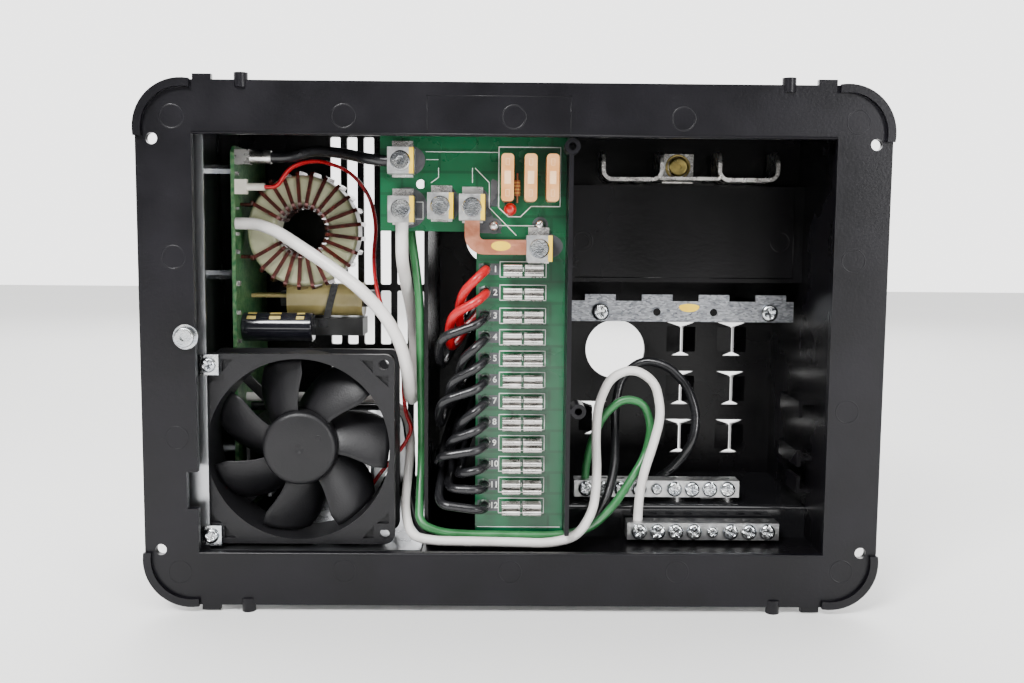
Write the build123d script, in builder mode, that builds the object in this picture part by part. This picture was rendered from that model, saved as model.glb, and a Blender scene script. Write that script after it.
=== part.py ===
"""Wall-mounted 12 V power centre: AC breaker bay, DC fuse board and converter, cover removed.

Millimetres. X right, Y into the box, Z up. The origin is the centre of the four mounting holes,
on the rear face of the front frame, which is the face that lies against the wall panel.
"""
import math
import os

from build123d import *

# ---------------------------------------------------------------- driving dimensions
FRAME_W = 300.0
FRAME_H = 212.0
FRAME_T = 3.0
FRAME_CORNER_R = 19.0
HOLE_SPACING_X = 287.0
HOLE_SPACING_Z = 166.0
MOUNT_HOLE_R = 2.3
OPEN_X = 128.0            # half width of the frame opening
OPEN_TOP = 85.0
OPEN_BOTTOM = -84.0

BOX_LEFT = -136.0         # inner faces of the rear box
BOX_RIGHT = 130.5
BOX_BOTTOM = -86.5
BOX_TOP = 97.0
BOX_DEPTH = 99.0          # inner face of the back wall
WALL = 2.5

CHANNEL_X = -37.4         # left face of the wire-channel wall
CHANNEL_T = 1.6
CHANNEL_FRONT = 17.0
DIVIDER_X = 21.6          # left face of the AC/DC divider
DIVIDER_T = 1.8

BOARD_Y = 15.0            # front face of the fuse board
BOARD_T = 1.6
ROW_PITCH = 9.0
ROW_Z = [31.8, 22.1] + [12.4 - ROW_PITCH * n for n in range(10)]
CLIP_X = [-0.4, 8.4]

LUG_SIZE = 10.4
LUG_FRONT = 2.0
LUG_REAR = 12.4
LUG_WALL = 3.2
LUG_MOUTH = 8.2
LUG_CENTRES = [(-46.0, 75.7), (-45.9, 56.3), (-30.0, 57.8), (-17.2, 57.3), (10.2, 40.9)]
LUG_MOUTHS = ["X", "Z", "Z", "Z", "X"]
LUG_SCREW_R = 3.98
LUG_SCREW_FIT = 0.07

FUSE_X = [-2.9, 6.5, 15.4]
FUSE_Z = 69.4
FUSE_W = 19.1
FUSE_T = 5.1
FUSE_FRONT = 3.2
FUSE_BLADE_SPACING = 9.3

FAN_X = -89.2
FAN_Z = -43.4
FAN_FRONT = 8.0
FAN_SIZE = 80.0
FAN_DEPTH = 25.0
FAN_HOLE_SPACING = 71.5
FAN_DUCT_R = 38.0
FAN_HUB_R = 15.6
FAN_TIP_R = 37.2
FAN_BLADES = 7

PCB_RIGHT = -121.0        # component side of the converter board
PCB_T = 1.6
CHASSIS_LEFT = -135.5
CHASSIS_T = 1.2

TOROID_X = -93.1
TOROID_Z = 47.5
TOROID_R = 24.5
TOROID_HOLE_R = 11.6
TOROID_FRONT = 42.0
TOROID_T = 17.0

BREAKER_PITCH = 25.4
STAB_X = [39.1 + BREAKER_PITCH * n for n in range(4)]
PLATFORM_Y = 49.0
RECESS_Y = 59.0
RAIL_Y = 43.6
RAIL_T = 1.2
RAIL_SCREW_X = [39.2, 114.6]
RAIL_SCREW_Z = 12.8

SHELF_Z = -72.0           # top of the terminal shelf
SHELF_Y = 32.0
BAR_PITCH = 7.94
BAR_D = 9.0
BAR_H = 7.4
NEUTRAL_BAR = {"x0": 50.2, "front": 21.0, "z": -81.0, "count": 8, "blank": 4}
GROUND_BAR = {"x0": 28.1, "front": 37.0, "z": -66.0, "count": 9, "blank": 4}

VENT_FIRST_X = -87.2
VENT_PITCH = 8.2
VENT_W = 5.0
KNOCKOUT = (52.1, -9.6)
KNOCKOUT_R = 14.75
CLAMP_WINDOWS = [(x, z) for x in (85.0, 110.5) for z in (-4.3, -29.0, -53.5)] + [(41.6, -44.6)]
WIRE_HOLES = [(-9.0, 45.8), (-8.7, 5.6)]
WIRE_HOLE_R = 14.0


def wall_plane(y):
    """A sketch plane parallel to the front, with local x = X, local y = Z, extruding towards -Y."""
    return Plane(origin=(0, y, 0), x_dir=(1, 0, 0), z_dir=(0, -1, 0))


def bend_radii(points):
    """Largest arc at each corner of a lead: 0.45 of the shorter run over the tangent of half the turn."""
    radii = []
    for before, corner, after in zip(points, points[1:], points[2:]):
        run_in = Vector(*corner) - Vector(*before)
        run_out = Vector(*after) - Vector(*corner)
        half_turn = math.radians(run_in.get_angle(run_out)) / 2
        radii.append(0.45 * min(run_in.length, run_out.length) / math.tan(half_turn))
    return radii


def add_lead(name, points, diameter):
    """Sweep a round lead along straight runs joined by tangent arcs, into the active part."""
    radii = bend_radii(points)
    with BuildLine(mode=Mode.PRIVATE) as route:
        FilletPolyline(*points, radius=radii)
    path = route.wire()
    with BuildSketch(Plane(origin=path @ 0, z_dir=path % 0), mode=Mode.PRIVATE) as section:
        Circle(diameter / 2)
    sweep(sections=section.sketch, path=path)
    tightest = min(radii)
    print(f"{name}: length {path.length:.0f} mm, tightest radius {tightest:.1f} mm")
    return path.length


os.makedirs("parts", exist_ok=True)
pieces = []

# ---------------------------------------------------------------- front frame
CORNERS = [(1, 1), (-1, 1), (-1, -1), (1, -1)]
RIDGE_W = 2.7
RIDGE_H = 1.8
NOTCH = (-132.4, -66.0, -50.7)
GROUND_SCREW = (-131.5, 4.5)
with BuildPart() as front_frame:
    with BuildSketch(wall_plane(0)):
        RectangleRounded(FRAME_W, FRAME_H, FRAME_CORNER_R)
        with Locations((0, (OPEN_TOP + OPEN_BOTTOM) / 2)):
            Rectangle(2 * OPEN_X, OPEN_TOP - OPEN_BOTTOM, mode=Mode.SUBTRACT)
        with Locations(((NOTCH[0] - OPEN_X) / 2, (NOTCH[1] + NOTCH[2]) / 2)):
            Rectangle(-OPEN_X - NOTCH[0], NOTCH[2] - NOTCH[1], mode=Mode.SUBTRACT)
        with GridLocations(HOLE_SPACING_X, HOLE_SPACING_Z, 2, 2):
            Circle(MOUNT_HOLE_R, mode=Mode.SUBTRACT)
        with Locations(GROUND_SCREW):
            Circle(2.2, mode=Mode.SUBTRACT)
    extrude(amount=FRAME_T)
    outer_rim = front_frame.edges().group_by(Axis.Y)[0].filter_by(GeomType.LINE)
    fillet(outer_rim.sort_by(SortBy.LENGTH)[-4:-2], radius=0.8)
    for side_x, side_z in CORNERS:
        arc_x = side_x * (FRAME_W / 2 - FRAME_CORNER_R)
        arc_z = side_z * (FRAME_H / 2 - FRAME_CORNER_R)
        with BuildSketch(wall_plane(-FRAME_T)):
            with Locations((arc_x, arc_z)):
                Circle(FRAME_CORNER_R + 0.5)
                Circle(FRAME_CORNER_R - RIDGE_W, mode=Mode.SUBTRACT)
            with Locations((arc_x + side_x * 15, arc_z + side_z * 15)):
                Rectangle(36, 36, mode=Mode.INTERSECT)
        extrude(amount=RIDGE_H)
    for side_x, side_z in CORNERS:
        with Locations((side_x * 123.5, -1.25, side_z * (FRAME_H / 2 + 1))):
            Box(7.4, 2.5, 2.6)
        with Locations((side_x * 108.2, -1.6, side_z * (FRAME_H / 2))):
            Cylinder(2.75, 5.6)
front_frame.part.label = "front_frame"
pieces.append(front_frame.part)

# ---------------------------------------------------------------- rear box
box_centre_x = (BOX_LEFT + BOX_RIGHT) / 2
box_centre_z = (BOX_BOTTOM + BOX_TOP) / 2
POST_R = 4.0
HAIRLINE = 0.02
with BuildPart() as rear_box:
    with BuildSketch(wall_plane(0)):
        with Locations((box_centre_x, box_centre_z)):
            RectangleRounded(BOX_RIGHT - BOX_LEFT + 2 * WALL, BOX_TOP - BOX_BOTTOM + 2 * WALL, 4)
    extrude(amount=-(BOX_DEPTH + WALL))
    with BuildSketch(wall_plane(0)):
        with Locations((box_centre_x, box_centre_z)):
            RectangleRounded(BOX_RIGHT - BOX_LEFT, BOX_TOP - BOX_BOTTOM, 0.5)
    extrude(amount=-BOX_DEPTH, mode=Mode.SUBTRACT)
    vent_x = [VENT_FIRST_X + VENT_PITCH * n for n in range(6)]
    with BuildSketch(wall_plane(BOX_DEPTH)):
        for x in vent_x:
            with Locations((x, 58.0)):
                RectangleRounded(VENT_W, 72.2, 1)
            with Locations((x, 5.4)):
                RectangleRounded(VENT_W, 26.8, 1)
            with Locations((x, -45.0)):
                RectangleRounded(VENT_W, 60.0, 1)
        with Locations(KNOCKOUT):
            Circle(KNOCKOUT_R)
        with Locations(*WIRE_HOLES):
            Circle(WIRE_HOLE_R)
        for x, z in CLAMP_WINDOWS:
            with BuildLine(Plane((x, z, 0))):
                Polyline((-7.2, 8.6), (7.2, 8.6), (0.6, 6.4), (0.6, -6.4), (4.6, -8.2), (-4.6, -8.2),
                         (-0.6, -6.4), (-0.6, 6.4), (-7.2, 8.6))
            make_face()
    extrude(amount=-WALL, mode=Mode.SUBTRACT)
    for x, z in CLAMP_WINDOWS:
        for side in (-1, 1):
            with BuildSketch(Plane(origin=(x, BOX_DEPTH, z), x_dir=(side, 0, 0), z_dir=(0, 0, -side))):
                Polygon((0.6, 0), (7.2, 0), (0.6, 2.2), align=None)
            extrude(amount=6.2, both=True)
    with Locations(*[(x, (RAIL_Y + RAIL_T + BOX_DEPTH) / 2, RAIL_SCREW_Z) for x in RAIL_SCREW_X]):
        Cylinder(POST_R, BOX_DEPTH - RAIL_Y - RAIL_T, rotation=(90, 0, 0))
    with Locations(*[(x, RAIL_Y + RAIL_T + 6, RAIL_SCREW_Z) for x in RAIL_SCREW_X]):
        Cylinder(1.75, 12, rotation=(90, 0, 0), mode=Mode.SUBTRACT)
    # latch bracket on the right wall: three arms, each with a lip along its tip
    for arm_z, lip_z in ((-24.9, -28.0), (-49.5, -49.5), (-63.7, -61.0)):
        with Locations((BOX_RIGHT - 3.2, 40.0, arm_z)):
            Box(6.4, 30, 1.6)
        with Locations((BOX_RIGHT - 5.6, 40.0, lip_z)):
            Box(1.6, 30, 7.0)
    # hairline joints, so that each wall, post and bracket arm is a simple solid of its own
    for x in (BOX_LEFT, BOX_RIGHT):
        with Locations((x, BOX_DEPTH / 2, box_centre_z)):
            Box(HAIRLINE, 2 * BOX_DEPTH, FRAME_H, mode=Mode.SUBTRACT)
    for z in (BOX_BOTTOM, BOX_TOP):
        with Locations((box_centre_x, BOX_DEPTH / 2, z)):
            Box(FRAME_W, 2 * BOX_DEPTH, HAIRLINE, mode=Mode.SUBTRACT)
    with Locations(*[(x, BOX_DEPTH - HAIRLINE / 2, RAIL_SCREW_Z) for x in RAIL_SCREW_X]):
        Box(3 * POST_R, HAIRLINE, 3 * POST_R, mode=Mode.SUBTRACT)
rear_box.part.label = "rear_box"
pieces.append(rear_box.part)

# ---------------------------------------------------------------- AC compartment mouldings
AC_LEFT = DIVIDER_X + DIVIDER_T
AC_RIGHT = BOX_RIGHT - 0.1
ac_width = AC_RIGHT - AC_LEFT
PLATFORM_BOTTOM = 26.0
PLATFORM_TOP = 69.0
PLATE_T = 2.4
with BuildPart() as breaker_platform:
    with BuildSketch(Plane.YZ.offset(AC_LEFT)):
        with BuildLine():
            Polyline((BOX_DEPTH, PLATFORM_BOTTOM), (PLATFORM_Y, PLATFORM_BOTTOM),
                     (PLATFORM_Y, PLATFORM_TOP), (RECESS_Y, PLATFORM_TOP), (RECESS_Y, BOX_TOP),
                     (RECESS_Y + PLATE_T, BOX_TOP), (RECESS_Y + PLATE_T, PLATFORM_TOP - PLATE_T),
                     (PLATFORM_Y + PLATE_T, PLATFORM_TOP - PLATE_T),
                     (PLATFORM_Y + PLATE_T, PLATFORM_BOTTOM + PLATE_T),
                     (BOX_DEPTH, PLATFORM_BOTTOM + PLATE_T), (BOX_DEPTH, PLATFORM_BOTTOM))
        make_face()
    extrude(amount=ac_width)
    with BuildSketch(wall_plane(PLATFORM_Y)):
        with Locations((31.4, 44.1), (120.0, 44.4)):
            Circle(2.6)
    extrude(amount=-0.6, mode=Mode.SUBTRACT)
    with Locations((74.6, RECESS_Y + 1, 77.9)):
        Cylinder(1.9, 8, rotation=(90, 0, 0), mode=Mode.SUBTRACT)
breaker_platform.part.label = "breaker_platform"
pieces.append(breaker_platform.part)

SHELF_T = 2.4
with BuildPart() as terminal_shelf:
    with BuildSketch(Plane.YZ.offset(AC_LEFT)):
        with BuildLine():
            Polyline((SHELF_Y, BOX_BOTTOM), (SHELF_Y, SHELF_Z), (BOX_DEPTH, SHELF_Z),
                     (BOX_DEPTH, SHELF_Z - SHELF_T), (SHELF_Y + SHELF_T, SHELF_Z - SHELF_T),
                     (SHELF_Y + SHELF_T, BOX_BOTTOM), (SHELF_Y, BOX_BOTTOM))
        make_face()
    extrude(amount=ac_width)
    fillet(terminal_shelf.edges().filter_by(Axis.X).sort_by(lambda e: -e.center().Z + e.center().Y)[0],
           radius=2.2)
    bar_rear = NEUTRAL_BAR["front"] + BAR_D
    for x in (62.0, 104.0):
        with Locations((x, (bar_rear + SHELF_Y) / 2, NEUTRAL_BAR["z"])):
            Box(7, SHELF_Y - bar_rear, 4)
    bar_bottom = GROUND_BAR["z"] - BAR_H / 2
    for x in (40.5, 88.1):
        with Locations((x, GROUND_BAR["front"] + BAR_D / 2, (bar_bottom + SHELF_Z) / 2)):
            Box(6, 5, bar_bottom - SHELF_Z)
terminal_shelf.part.label = "terminal_shelf"
pieces.append(terminal_shelf.part)

LEAD_NOTCH_Y = 18.5
LEAD_NOTCH_Z = -77.0
BOSS_R = 3.1
BOSSES = [(22.9, 81.6), (26.7, -25.2)]
with BuildPart() as ac_dc_divider:
    with BuildSketch(Plane.YZ.offset(DIVIDER_X)):
        with BuildLine():
            Polyline((-1, LEAD_NOTCH_Z), (-1, OPEN_TOP - 0.2), (0.1, OPEN_TOP - 0.2), (0.1, BOX_TOP),
                     (BOX_DEPTH, BOX_TOP), (BOX_DEPTH, BOX_BOTTOM), (LEAD_NOTCH_Y, BOX_BOTTOM),
                     (LEAD_NOTCH_Y, LEAD_NOTCH_Z), (-1, LEAD_NOTCH_Z))
        make_face()
    extrude(amount=DIVIDER_T)
    with BuildSketch(wall_plane(-1)):
        with Locations(*BOSSES):
            Circle(BOSS_R)
        with Locations((BOSSES[1][0] - 2.2, BOSSES[1][1])):
            Rectangle(3, 2)
    extrude(amount=-12)
    with BuildSketch(wall_plane(-1)):
        with Locations(*BOSSES):
            Circle(1.5)
    extrude(amount=-10, mode=Mode.SUBTRACT)
ac_dc_divider.part.label = "ac_dc_divider"
pieces.append(ac_dc_divider.part)

CHANNEL_BOTTOM = BOX_BOTTOM + 1.4
CHANNEL_NOTCH_Y = 24.0
CHANNEL_NOTCH_Z = -76.0
with BuildPart() as channel_wall:
    with BuildSketch(Plane.YZ.offset(CHANNEL_X)):
        with BuildLine():
            Polyline((CHANNEL_FRONT, CHANNEL_NOTCH_Z), (CHANNEL_FRONT, BOX_TOP), (BOX_DEPTH, BOX_TOP),
                     (BOX_DEPTH, CHANNEL_BOTTOM), (CHANNEL_NOTCH_Y, CHANNEL_BOTTOM),
                     (CHANNEL_NOTCH_Y, CHANNEL_NOTCH_Z), (CHANNEL_FRONT, CHANNEL_NOTCH_Z))
        make_face()
    extrude(amount=CHANNEL_T)
channel_wall.part.label = "channel_wall"
pieces.append(channel_wall.part)

# ---------------------------------------------------------------- AC hot bus, rail and terminal bars
STAB_FRONT = 38.0
STAB_DEPTH = 18.0
STAB_TOP = 83.5
BUS_Z = 70.4
BUS_T = 1.6
BUS_SCREW = (74.6, 77.9)
with BuildPart() as hot_bus:
    for left, right in ((STAB_X[0], STAB_X[1]), (STAB_X[2], STAB_X[3])):
        with BuildSketch(wall_plane(STAB_FRONT)):
            with BuildLine():
                FilletPolyline((left, STAB_TOP), (left, BUS_Z + BUS_T / 2), (right, BUS_Z + BUS_T / 2),
                               (right, STAB_TOP), radius=4)
            trace(line_width=BUS_T)
        extrude(amount=-STAB_DEPTH)
    stab_tips = hot_bus.edges().filter_by(Axis.X).group_by(Axis.Z)[-1].group_by(Axis.Y)[0]
    fillet(stab_tips, radius=5)
    with Locations(((STAB_X[1] + STAB_X[2]) / 2, STAB_FRONT + 9, BUS_Z + 1.4)):
        Box(STAB_X[2] - STAB_X[1] + 1, 14, 1.4)
    with Locations((BUS_SCREW[0], RECESS_Y - 0.8, 77.2)):
        Box(14, 1.6, 13)
    with Locations((BUS_SCREW[0], RECESS_Y - 3.0, BUS_Z + 1.4)):
        Box(14, 6.0, 1.4)
    with Locations((BUS_SCREW[0], RECESS_Y - 0.8, BUS_SCREW[1])):
        Cylinder(1.9, 3, rotation=(90, 0, 0), mode=Mode.SUBTRACT)
hot_bus.part.label = "hot_bus"
pieces.append(hot_bus.part)


def add_screw(x, z, seat_y, head_r, head_h, shank_r, shank_l, recess_r):
    """A pan-head screw driven along +Y, its head standing out from seat_y, into the active part."""
    with Locations((x, seat_y - head_h / 2, z)):
        Cylinder(head_r, head_h, rotation=(90, 0, 0))
    with Locations((x, seat_y + shank_l / 2, z)):
        Cylinder(shank_r, shank_l, rotation=(90, 0, 0))
    with Locations((x, seat_y - head_h, z)):
        Cylinder(recess_r, head_h, rotation=(90, 0, 0), mode=Mode.SUBTRACT)


def head_rim(screw):
    """The outer edge of a screw head's front face."""
    return screw.edges().filter_by(GeomType.CIRCLE).group_by(Axis.Y)[0].sort_by(SortBy.RADIUS)[-1]


with BuildPart() as bus_screw:
    add_screw(BUS_SCREW[0], BUS_SCREW[1], RECESS_Y - 1.6, 4.4, 2.6, 1.85, 5.0, 1.4)
    fillet(head_rim(bus_screw), radius=1.2)
bus_screw.part.label = "bus_screw"
pieces.append(bus_screw.part)

RAIL_BOTTOM = 8.6
RAIL_TOP = 17.7
TAB_W = 13.6
TAB_H = 2.9
with BuildPart() as breaker_rail:
    with BuildSketch(wall_plane(RAIL_Y)):
        with Locations((75.0, (RAIL_BOTTOM + RAIL_TOP) / 2)):
            Rectangle(101.2, RAIL_TOP - RAIL_BOTTOM)
        with Locations(*[(x, RAIL_TOP + TAB_H / 2 - 0.5) for x in STAB_X]):
            Rectangle(TAB_W, TAB_H + 1)
        with Locations(*[(x, RAIL_SCREW_Z) for x in (64.5, 89.9)]):
            Circle(1.75, mode=Mode.SUBTRACT)
        with Locations(*[(x, RAIL_SCREW_Z) for x in RAIL_SCREW_X]):
            Circle(1.9, mode=Mode.SUBTRACT)
    extrude(amount=-RAIL_T)
breaker_rail.part.label = "breaker_rail"
pieces.append(breaker_rail.part)

with BuildPart() as rail_screws:
    for x in RAIL_SCREW_X:
        add_screw(x, RAIL_SCREW_Z, RAIL_Y, 4.0, 2.6, 1.75, 10.0, 1.2)
rail_screws.part.label = "rail_screws"
pieces.append(rail_screws.part)


def bar_holes(bar):
    """X of every cross hole of a terminal bar."""
    return [bar["x0"] + 5.2 + BAR_PITCH * n for n in range(bar["count"])]


def add_bar(bar):
    """A terminal bar with a wire hole down each place and a screw hole from the front."""
    length = 2 * 5.2 + BAR_PITCH * (bar["count"] - 1)
    middle = (bar["x0"] + length / 2, bar["front"] + BAR_D / 2, bar["z"])
    with Locations(middle):
        Box(length, BAR_D, BAR_H)
    for n, x in enumerate(bar_holes(bar)):
        with Locations((x, bar["front"], bar["z"])):
            Cylinder(1.8, 9.6, rotation=(90, 0, 0), mode=Mode.SUBTRACT)
        if n != bar["blank"]:
            with Locations((x, bar["front"] + 5.4, bar["z"])):
                Cylinder(2.1, BAR_H + 1, mode=Mode.SUBTRACT)


with BuildPart() as neutral_bar:
    add_bar(NEUTRAL_BAR)
neutral_bar.part.label = "neutral_bar"
pieces.append(neutral_bar.part)

with BuildPart() as ground_bar:
    add_bar(GROUND_BAR)
ground_bar.part.label = "ground_bar"
pieces.append(ground_bar.part)

with BuildPart() as bar_screws:
    for bar in (NEUTRAL_BAR, GROUND_BAR):
        for n, x in enumerate(bar_holes(bar)):
            head_r = 2.5 if n == bar["blank"] else 3.45
            add_screw(x, bar["z"], bar["front"], head_r, 2.0, 1.8, 3.2, 1.1)
bar_screws.part.label = "bar_screws"
pieces.append(bar_screws.part)

# ---------------------------------------------------------------- DC fuse board
BOARD_LEFT = -55.5
BOARD_RIGHT = DIVIDER_X - 0.1
BOARD_TOP = 92.0
BOARD_STEP_Z = 47.6
BOARD_LOWER_LEFT = -15.6
BOARD_BOTTOM = -79.3
with BuildPart() as fuse_board:
    with BuildSketch(wall_plane(BOARD_Y)):
        with BuildLine():
            Polyline((BOARD_LEFT, BOARD_TOP), (BOARD_RIGHT, BOARD_TOP), (BOARD_RIGHT, BOARD_BOTTOM),
                     (BOARD_LOWER_LEFT, BOARD_BOTTOM), (BOARD_LOWER_LEFT, BOARD_STEP_Z),
                     (BOARD_LEFT, BOARD_STEP_Z), (BOARD_LEFT, BOARD_TOP))
        make_face()
        with Locations((-38.8, 67.0)):
            Circle(1.9, mode=Mode.SUBTRACT)
        for x in FUSE_X:
            with Locations(*[(x, FUSE_Z + side * FUSE_BLADE_SPACING / 2) for side in (-1, 1)]):
                Rectangle(1.6, 6.2, mode=Mode.SUBTRACT)
    extrude(amount=-BOARD_T)
fuse_board.part.label = "fuse_board"
pieces.append(fuse_board.part)

with BuildPart() as wire_lugs:
    for (x, z), mouth in zip(LUG_CENTRES, LUG_MOUTHS):
        depth = LUG_REAR - LUG_FRONT
        with Locations((x, (LUG_FRONT + LUG_REAR) / 2, z)):
            Box(LUG_SIZE, depth, LUG_SIZE + 0.2)
        window = (LUG_SIZE + 1, 6.0, LUG_MOUTH) if mouth == "X" else (LUG_MOUTH, 6.0, LUG_SIZE + 1)
        with Locations((x, LUG_FRONT + LUG_WALL + 3.0, z)):
            Box(*window, mode=Mode.SUBTRACT)
        with Locations((x, LUG_FRONT + LUG_WALL / 2, z)):
            Cylinder(LUG_SCREW_R + LUG_SCREW_FIT, LUG_WALL + 1, rotation=(90, 0, 0), mode=Mode.SUBTRACT)
wire_lugs.part.label = "wire_lugs"
pieces.append(wire_lugs.part)

STRAP_T = 1.5
with BuildPart() as lug_straps:
    for x, z in LUG_CENTRES:
        with Locations((x, LUG_REAR + STRAP_T / 2, z + 1.2)):
            Box(8.6, STRAP_T, LUG_SIZE + 4.4)
        with Locations((x, (LUG_REAR + BOARD_Y) / 2, z + 7.6)):
            Box(8.6, BOARD_Y - LUG_REAR, 1.5)
        with Locations((x, (LUG_REAR + BOARD_Y) / 2, z - 5.2)):
            Box(8.6, BOARD_Y - LUG_REAR, 1.5)
lug_straps.part.label = "lug_straps"
pieces.append(lug_straps.part)

LUG_SCREW_FRONT = 1.2
LUG_SCREW_REAR = 5.9
SOCKET_FLATS = 3.4
for number, (x, z) in enumerate(LUG_CENTRES, start=1):
    with BuildPart() as lug_screw:
        with BuildSketch(wall_plane(LUG_SCREW_REAR)):
            with Locations((x, z)):
                Circle(LUG_SCREW_R)
        extrude(amount=LUG_SCREW_REAR - LUG_SCREW_FRONT)
        chamfer(lug_screw.edges().group_by(Axis.Y)[0], length=0.5)
        with BuildSketch(wall_plane(LUG_SCREW_FRONT)):
            with Locations((x, z)):
                RegularPolygon(SOCKET_FLATS / 2, 6, major_radius=False)
        extrude(amount=-2.6, mode=Mode.SUBTRACT)
    lug_screw.part.label = f"lug_screw_{number}"
    pieces.append(lug_screw.part)

LINK_Y = 9.5
LINK_T = 1.6
LINK_W = 6.1
with BuildPart() as copper_link:
    with BuildSketch(wall_plane(LINK_Y)):
        with BuildLine():
            FilletPolyline((-17.3, 61.0), (-17.3, 41.3), (11.0, 41.3), radius=5)
        trace(line_width=LINK_W)
    extrude(amount=-LINK_T)
copper_link.part.label = "copper_link"
pieces.append(copper_link.part)

FUSE_REAR = BOARD_Y - 0.3
BLADE_L = 7.0
for number, x in enumerate(FUSE_X, start=1):
    with BuildPart() as battery_fuse:
        with Locations((x, (FUSE_FRONT + FUSE_REAR) / 2, FUSE_Z)):
            Box(FUSE_T, FUSE_REAR - FUSE_FRONT, FUSE_W)
        fillet(battery_fuse.edges().filter_by(Axis.Y), radius=1.6)
        for side in (-1, 1):
            with Locations((x, FUSE_REAR + BLADE_L / 2, FUSE_Z + side * FUSE_BLADE_SPACING / 2)):
                Box(0.65, BLADE_L, 5.2)
    battery_fuse.part.label = f"battery_fuse_{number}"
    pieces.append(battery_fuse.part)

with BuildPart() as battery_fuse_clips:
    for x in FUSE_X:
        for side in (-1, 1):
            z = FUSE_Z + side * FUSE_BLADE_SPACING / 2
            with Locations((x, BOARD_Y + BOARD_T + 3.5, z)):
                Box(3.0, 7.0, 6.6)
            with Locations((x, BOARD_Y + BOARD_T + 3.0, z)):
                Box(1.0, 6.2, 5.6, mode=Mode.SUBTRACT)
battery_fuse_clips.part.label = "battery_fuse_clips"
pieces.append(battery_fuse_clips.part)

CLIP_W = 7.6
CLIP_FRONT = 7.4
CLIP_GAP = 0.7
CLIP_LEAF_T = 0.5
with BuildPart() as branch_fuse_clips:
    leaf = CLIP_GAP / 2 + CLIP_LEAF_T / 2
    with BuildSketch(Plane.YZ) as clip_profile:
        for side in (-1, 1):
            with Locations(((CLIP_FRONT + BOARD_Y) / 2 + 0.9, side * leaf)):
                Rectangle(BOARD_Y - CLIP_FRONT - 1.8, CLIP_LEAF_T)
            with Locations((CLIP_FRONT + 1.1, side * (CLIP_GAP / 2 + 1.1))):
                Circle(1.1)
        with Locations((BOARD_Y - 0.4, 0)):
            Rectangle(0.8, 4.6)
    one_clip = extrude(clip_profile.sketch, amount=CLIP_W / 2, both=True, mode=Mode.PRIVATE)
    with Locations(*[(x, 0, z) for x in CLIP_X for z in ROW_Z]):
        add(one_clip)
branch_fuse_clips.part.label = "branch_fuse_clips"
pieces.append(branch_fuse_clips.part)

LED = (-1.7, 56.9)
LED_R = 2.4
with BuildPart() as status_led:
    with BuildSketch(wall_plane(BOARD_Y)):
        with Locations(LED):
            Circle(LED_R + 0.2)
    extrude(amount=1.0)
    with BuildSketch(wall_plane(BOARD_Y - 1.0)):
        with Locations(LED):
            Circle(LED_R)
    extrude(amount=6.6)
    fillet(status_led.edges().group_by(Axis.Y)[0], radius=2.2)
status_led.part.label = "status_led"
pieces.append(status_led.part)

RESISTOR_X = 1.2
with BuildPart() as led_resistor:
    with Locations((RESISTOR_X, BOARD_Y - 2.0, 65.6)):
        Cylinder(1.15, 6.4)
        Cylinder(0.35, 12.0)
    with Locations((RESISTOR_X, BOARD_Y - 1.1, 71.3), (RESISTOR_X, BOARD_Y - 1.1, 59.9)):
        Cylinder(0.35, 2.2, rotation=(90, 0, 0))
led_resistor.part.label = "led_resistor"
pieces.append(led_resistor.part)

# ---------------------------------------------------------------- converter chassis and board
LIP_Y = 5.5
LIP_RIGHT = -125.9
CLIP_CENTRES = [(FAN_X - FAN_HOLE_SPACING / 2, FAN_Z + side * FAN_HOLE_SPACING / 2) for side in (-1, 1)]
CHASSIS_BOTTOM = -86.4
with BuildPart() as converter_chassis:
    with BuildSketch(Plane.XY.offset(CHASSIS_BOTTOM)):
        with Locations((CHASSIS_LEFT + CHASSIS_T / 2, (LIP_Y + 98) / 2)):
            Rectangle(CHASSIS_T, 98 - LIP_Y)
        with Locations(((CHASSIS_LEFT + LIP_RIGHT) / 2, LIP_Y + CHASSIS_T / 2)):
            Rectangle(LIP_RIGHT - CHASSIS_LEFT, CHASSIS_T)
    extrude(amount=96 - CHASSIS_BOTTOM)
    with Locations(((CHASSIS_LEFT - 38.2) / 2, (LIP_Y + 98) / 2, CHASSIS_BOTTOM + CHASSIS_T / 2)):
        Box(-38.2 - CHASSIS_LEFT, 98 - LIP_Y, CHASSIS_T)
    with Locations((GROUND_SCREW[0], LIP_Y, GROUND_SCREW[1])):
        Cylinder(1.95, 6, rotation=(90, 0, 0), mode=Mode.SUBTRACT)
    with Locations(*[(x, LIP_Y, z) for x, z in CLIP_CENTRES]):
        Cylinder(2.2, 6, rotation=(90, 0, 0), mode=Mode.SUBTRACT)
converter_chassis.part.label = "converter_chassis"
pieces.append(converter_chassis.part)

with BuildPart() as ground_washer:
    with Locations((GROUND_SCREW[0], -FRAME_T - 0.4, GROUND_SCREW[1])):
        Cylinder(5.0, 0.8, rotation=(90, 0, 0))
        Cylinder(2.3, 0.8, rotation=(90, 0, 0), mode=Mode.SUBTRACT)
ground_washer.part.label = "ground_washer"
pieces.append(ground_washer.part)

with BuildPart() as ground_screw:
    add_screw(GROUND_SCREW[0], GROUND_SCREW[1], -FRAME_T - 0.8, 4.0, 3.0, 1.9, 15.0, 1.6)
    fillet(head_rim(ground_screw), radius=0.8)
ground_screw.part.label = "ground_screw"
pieces.append(ground_screw.part)

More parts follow.
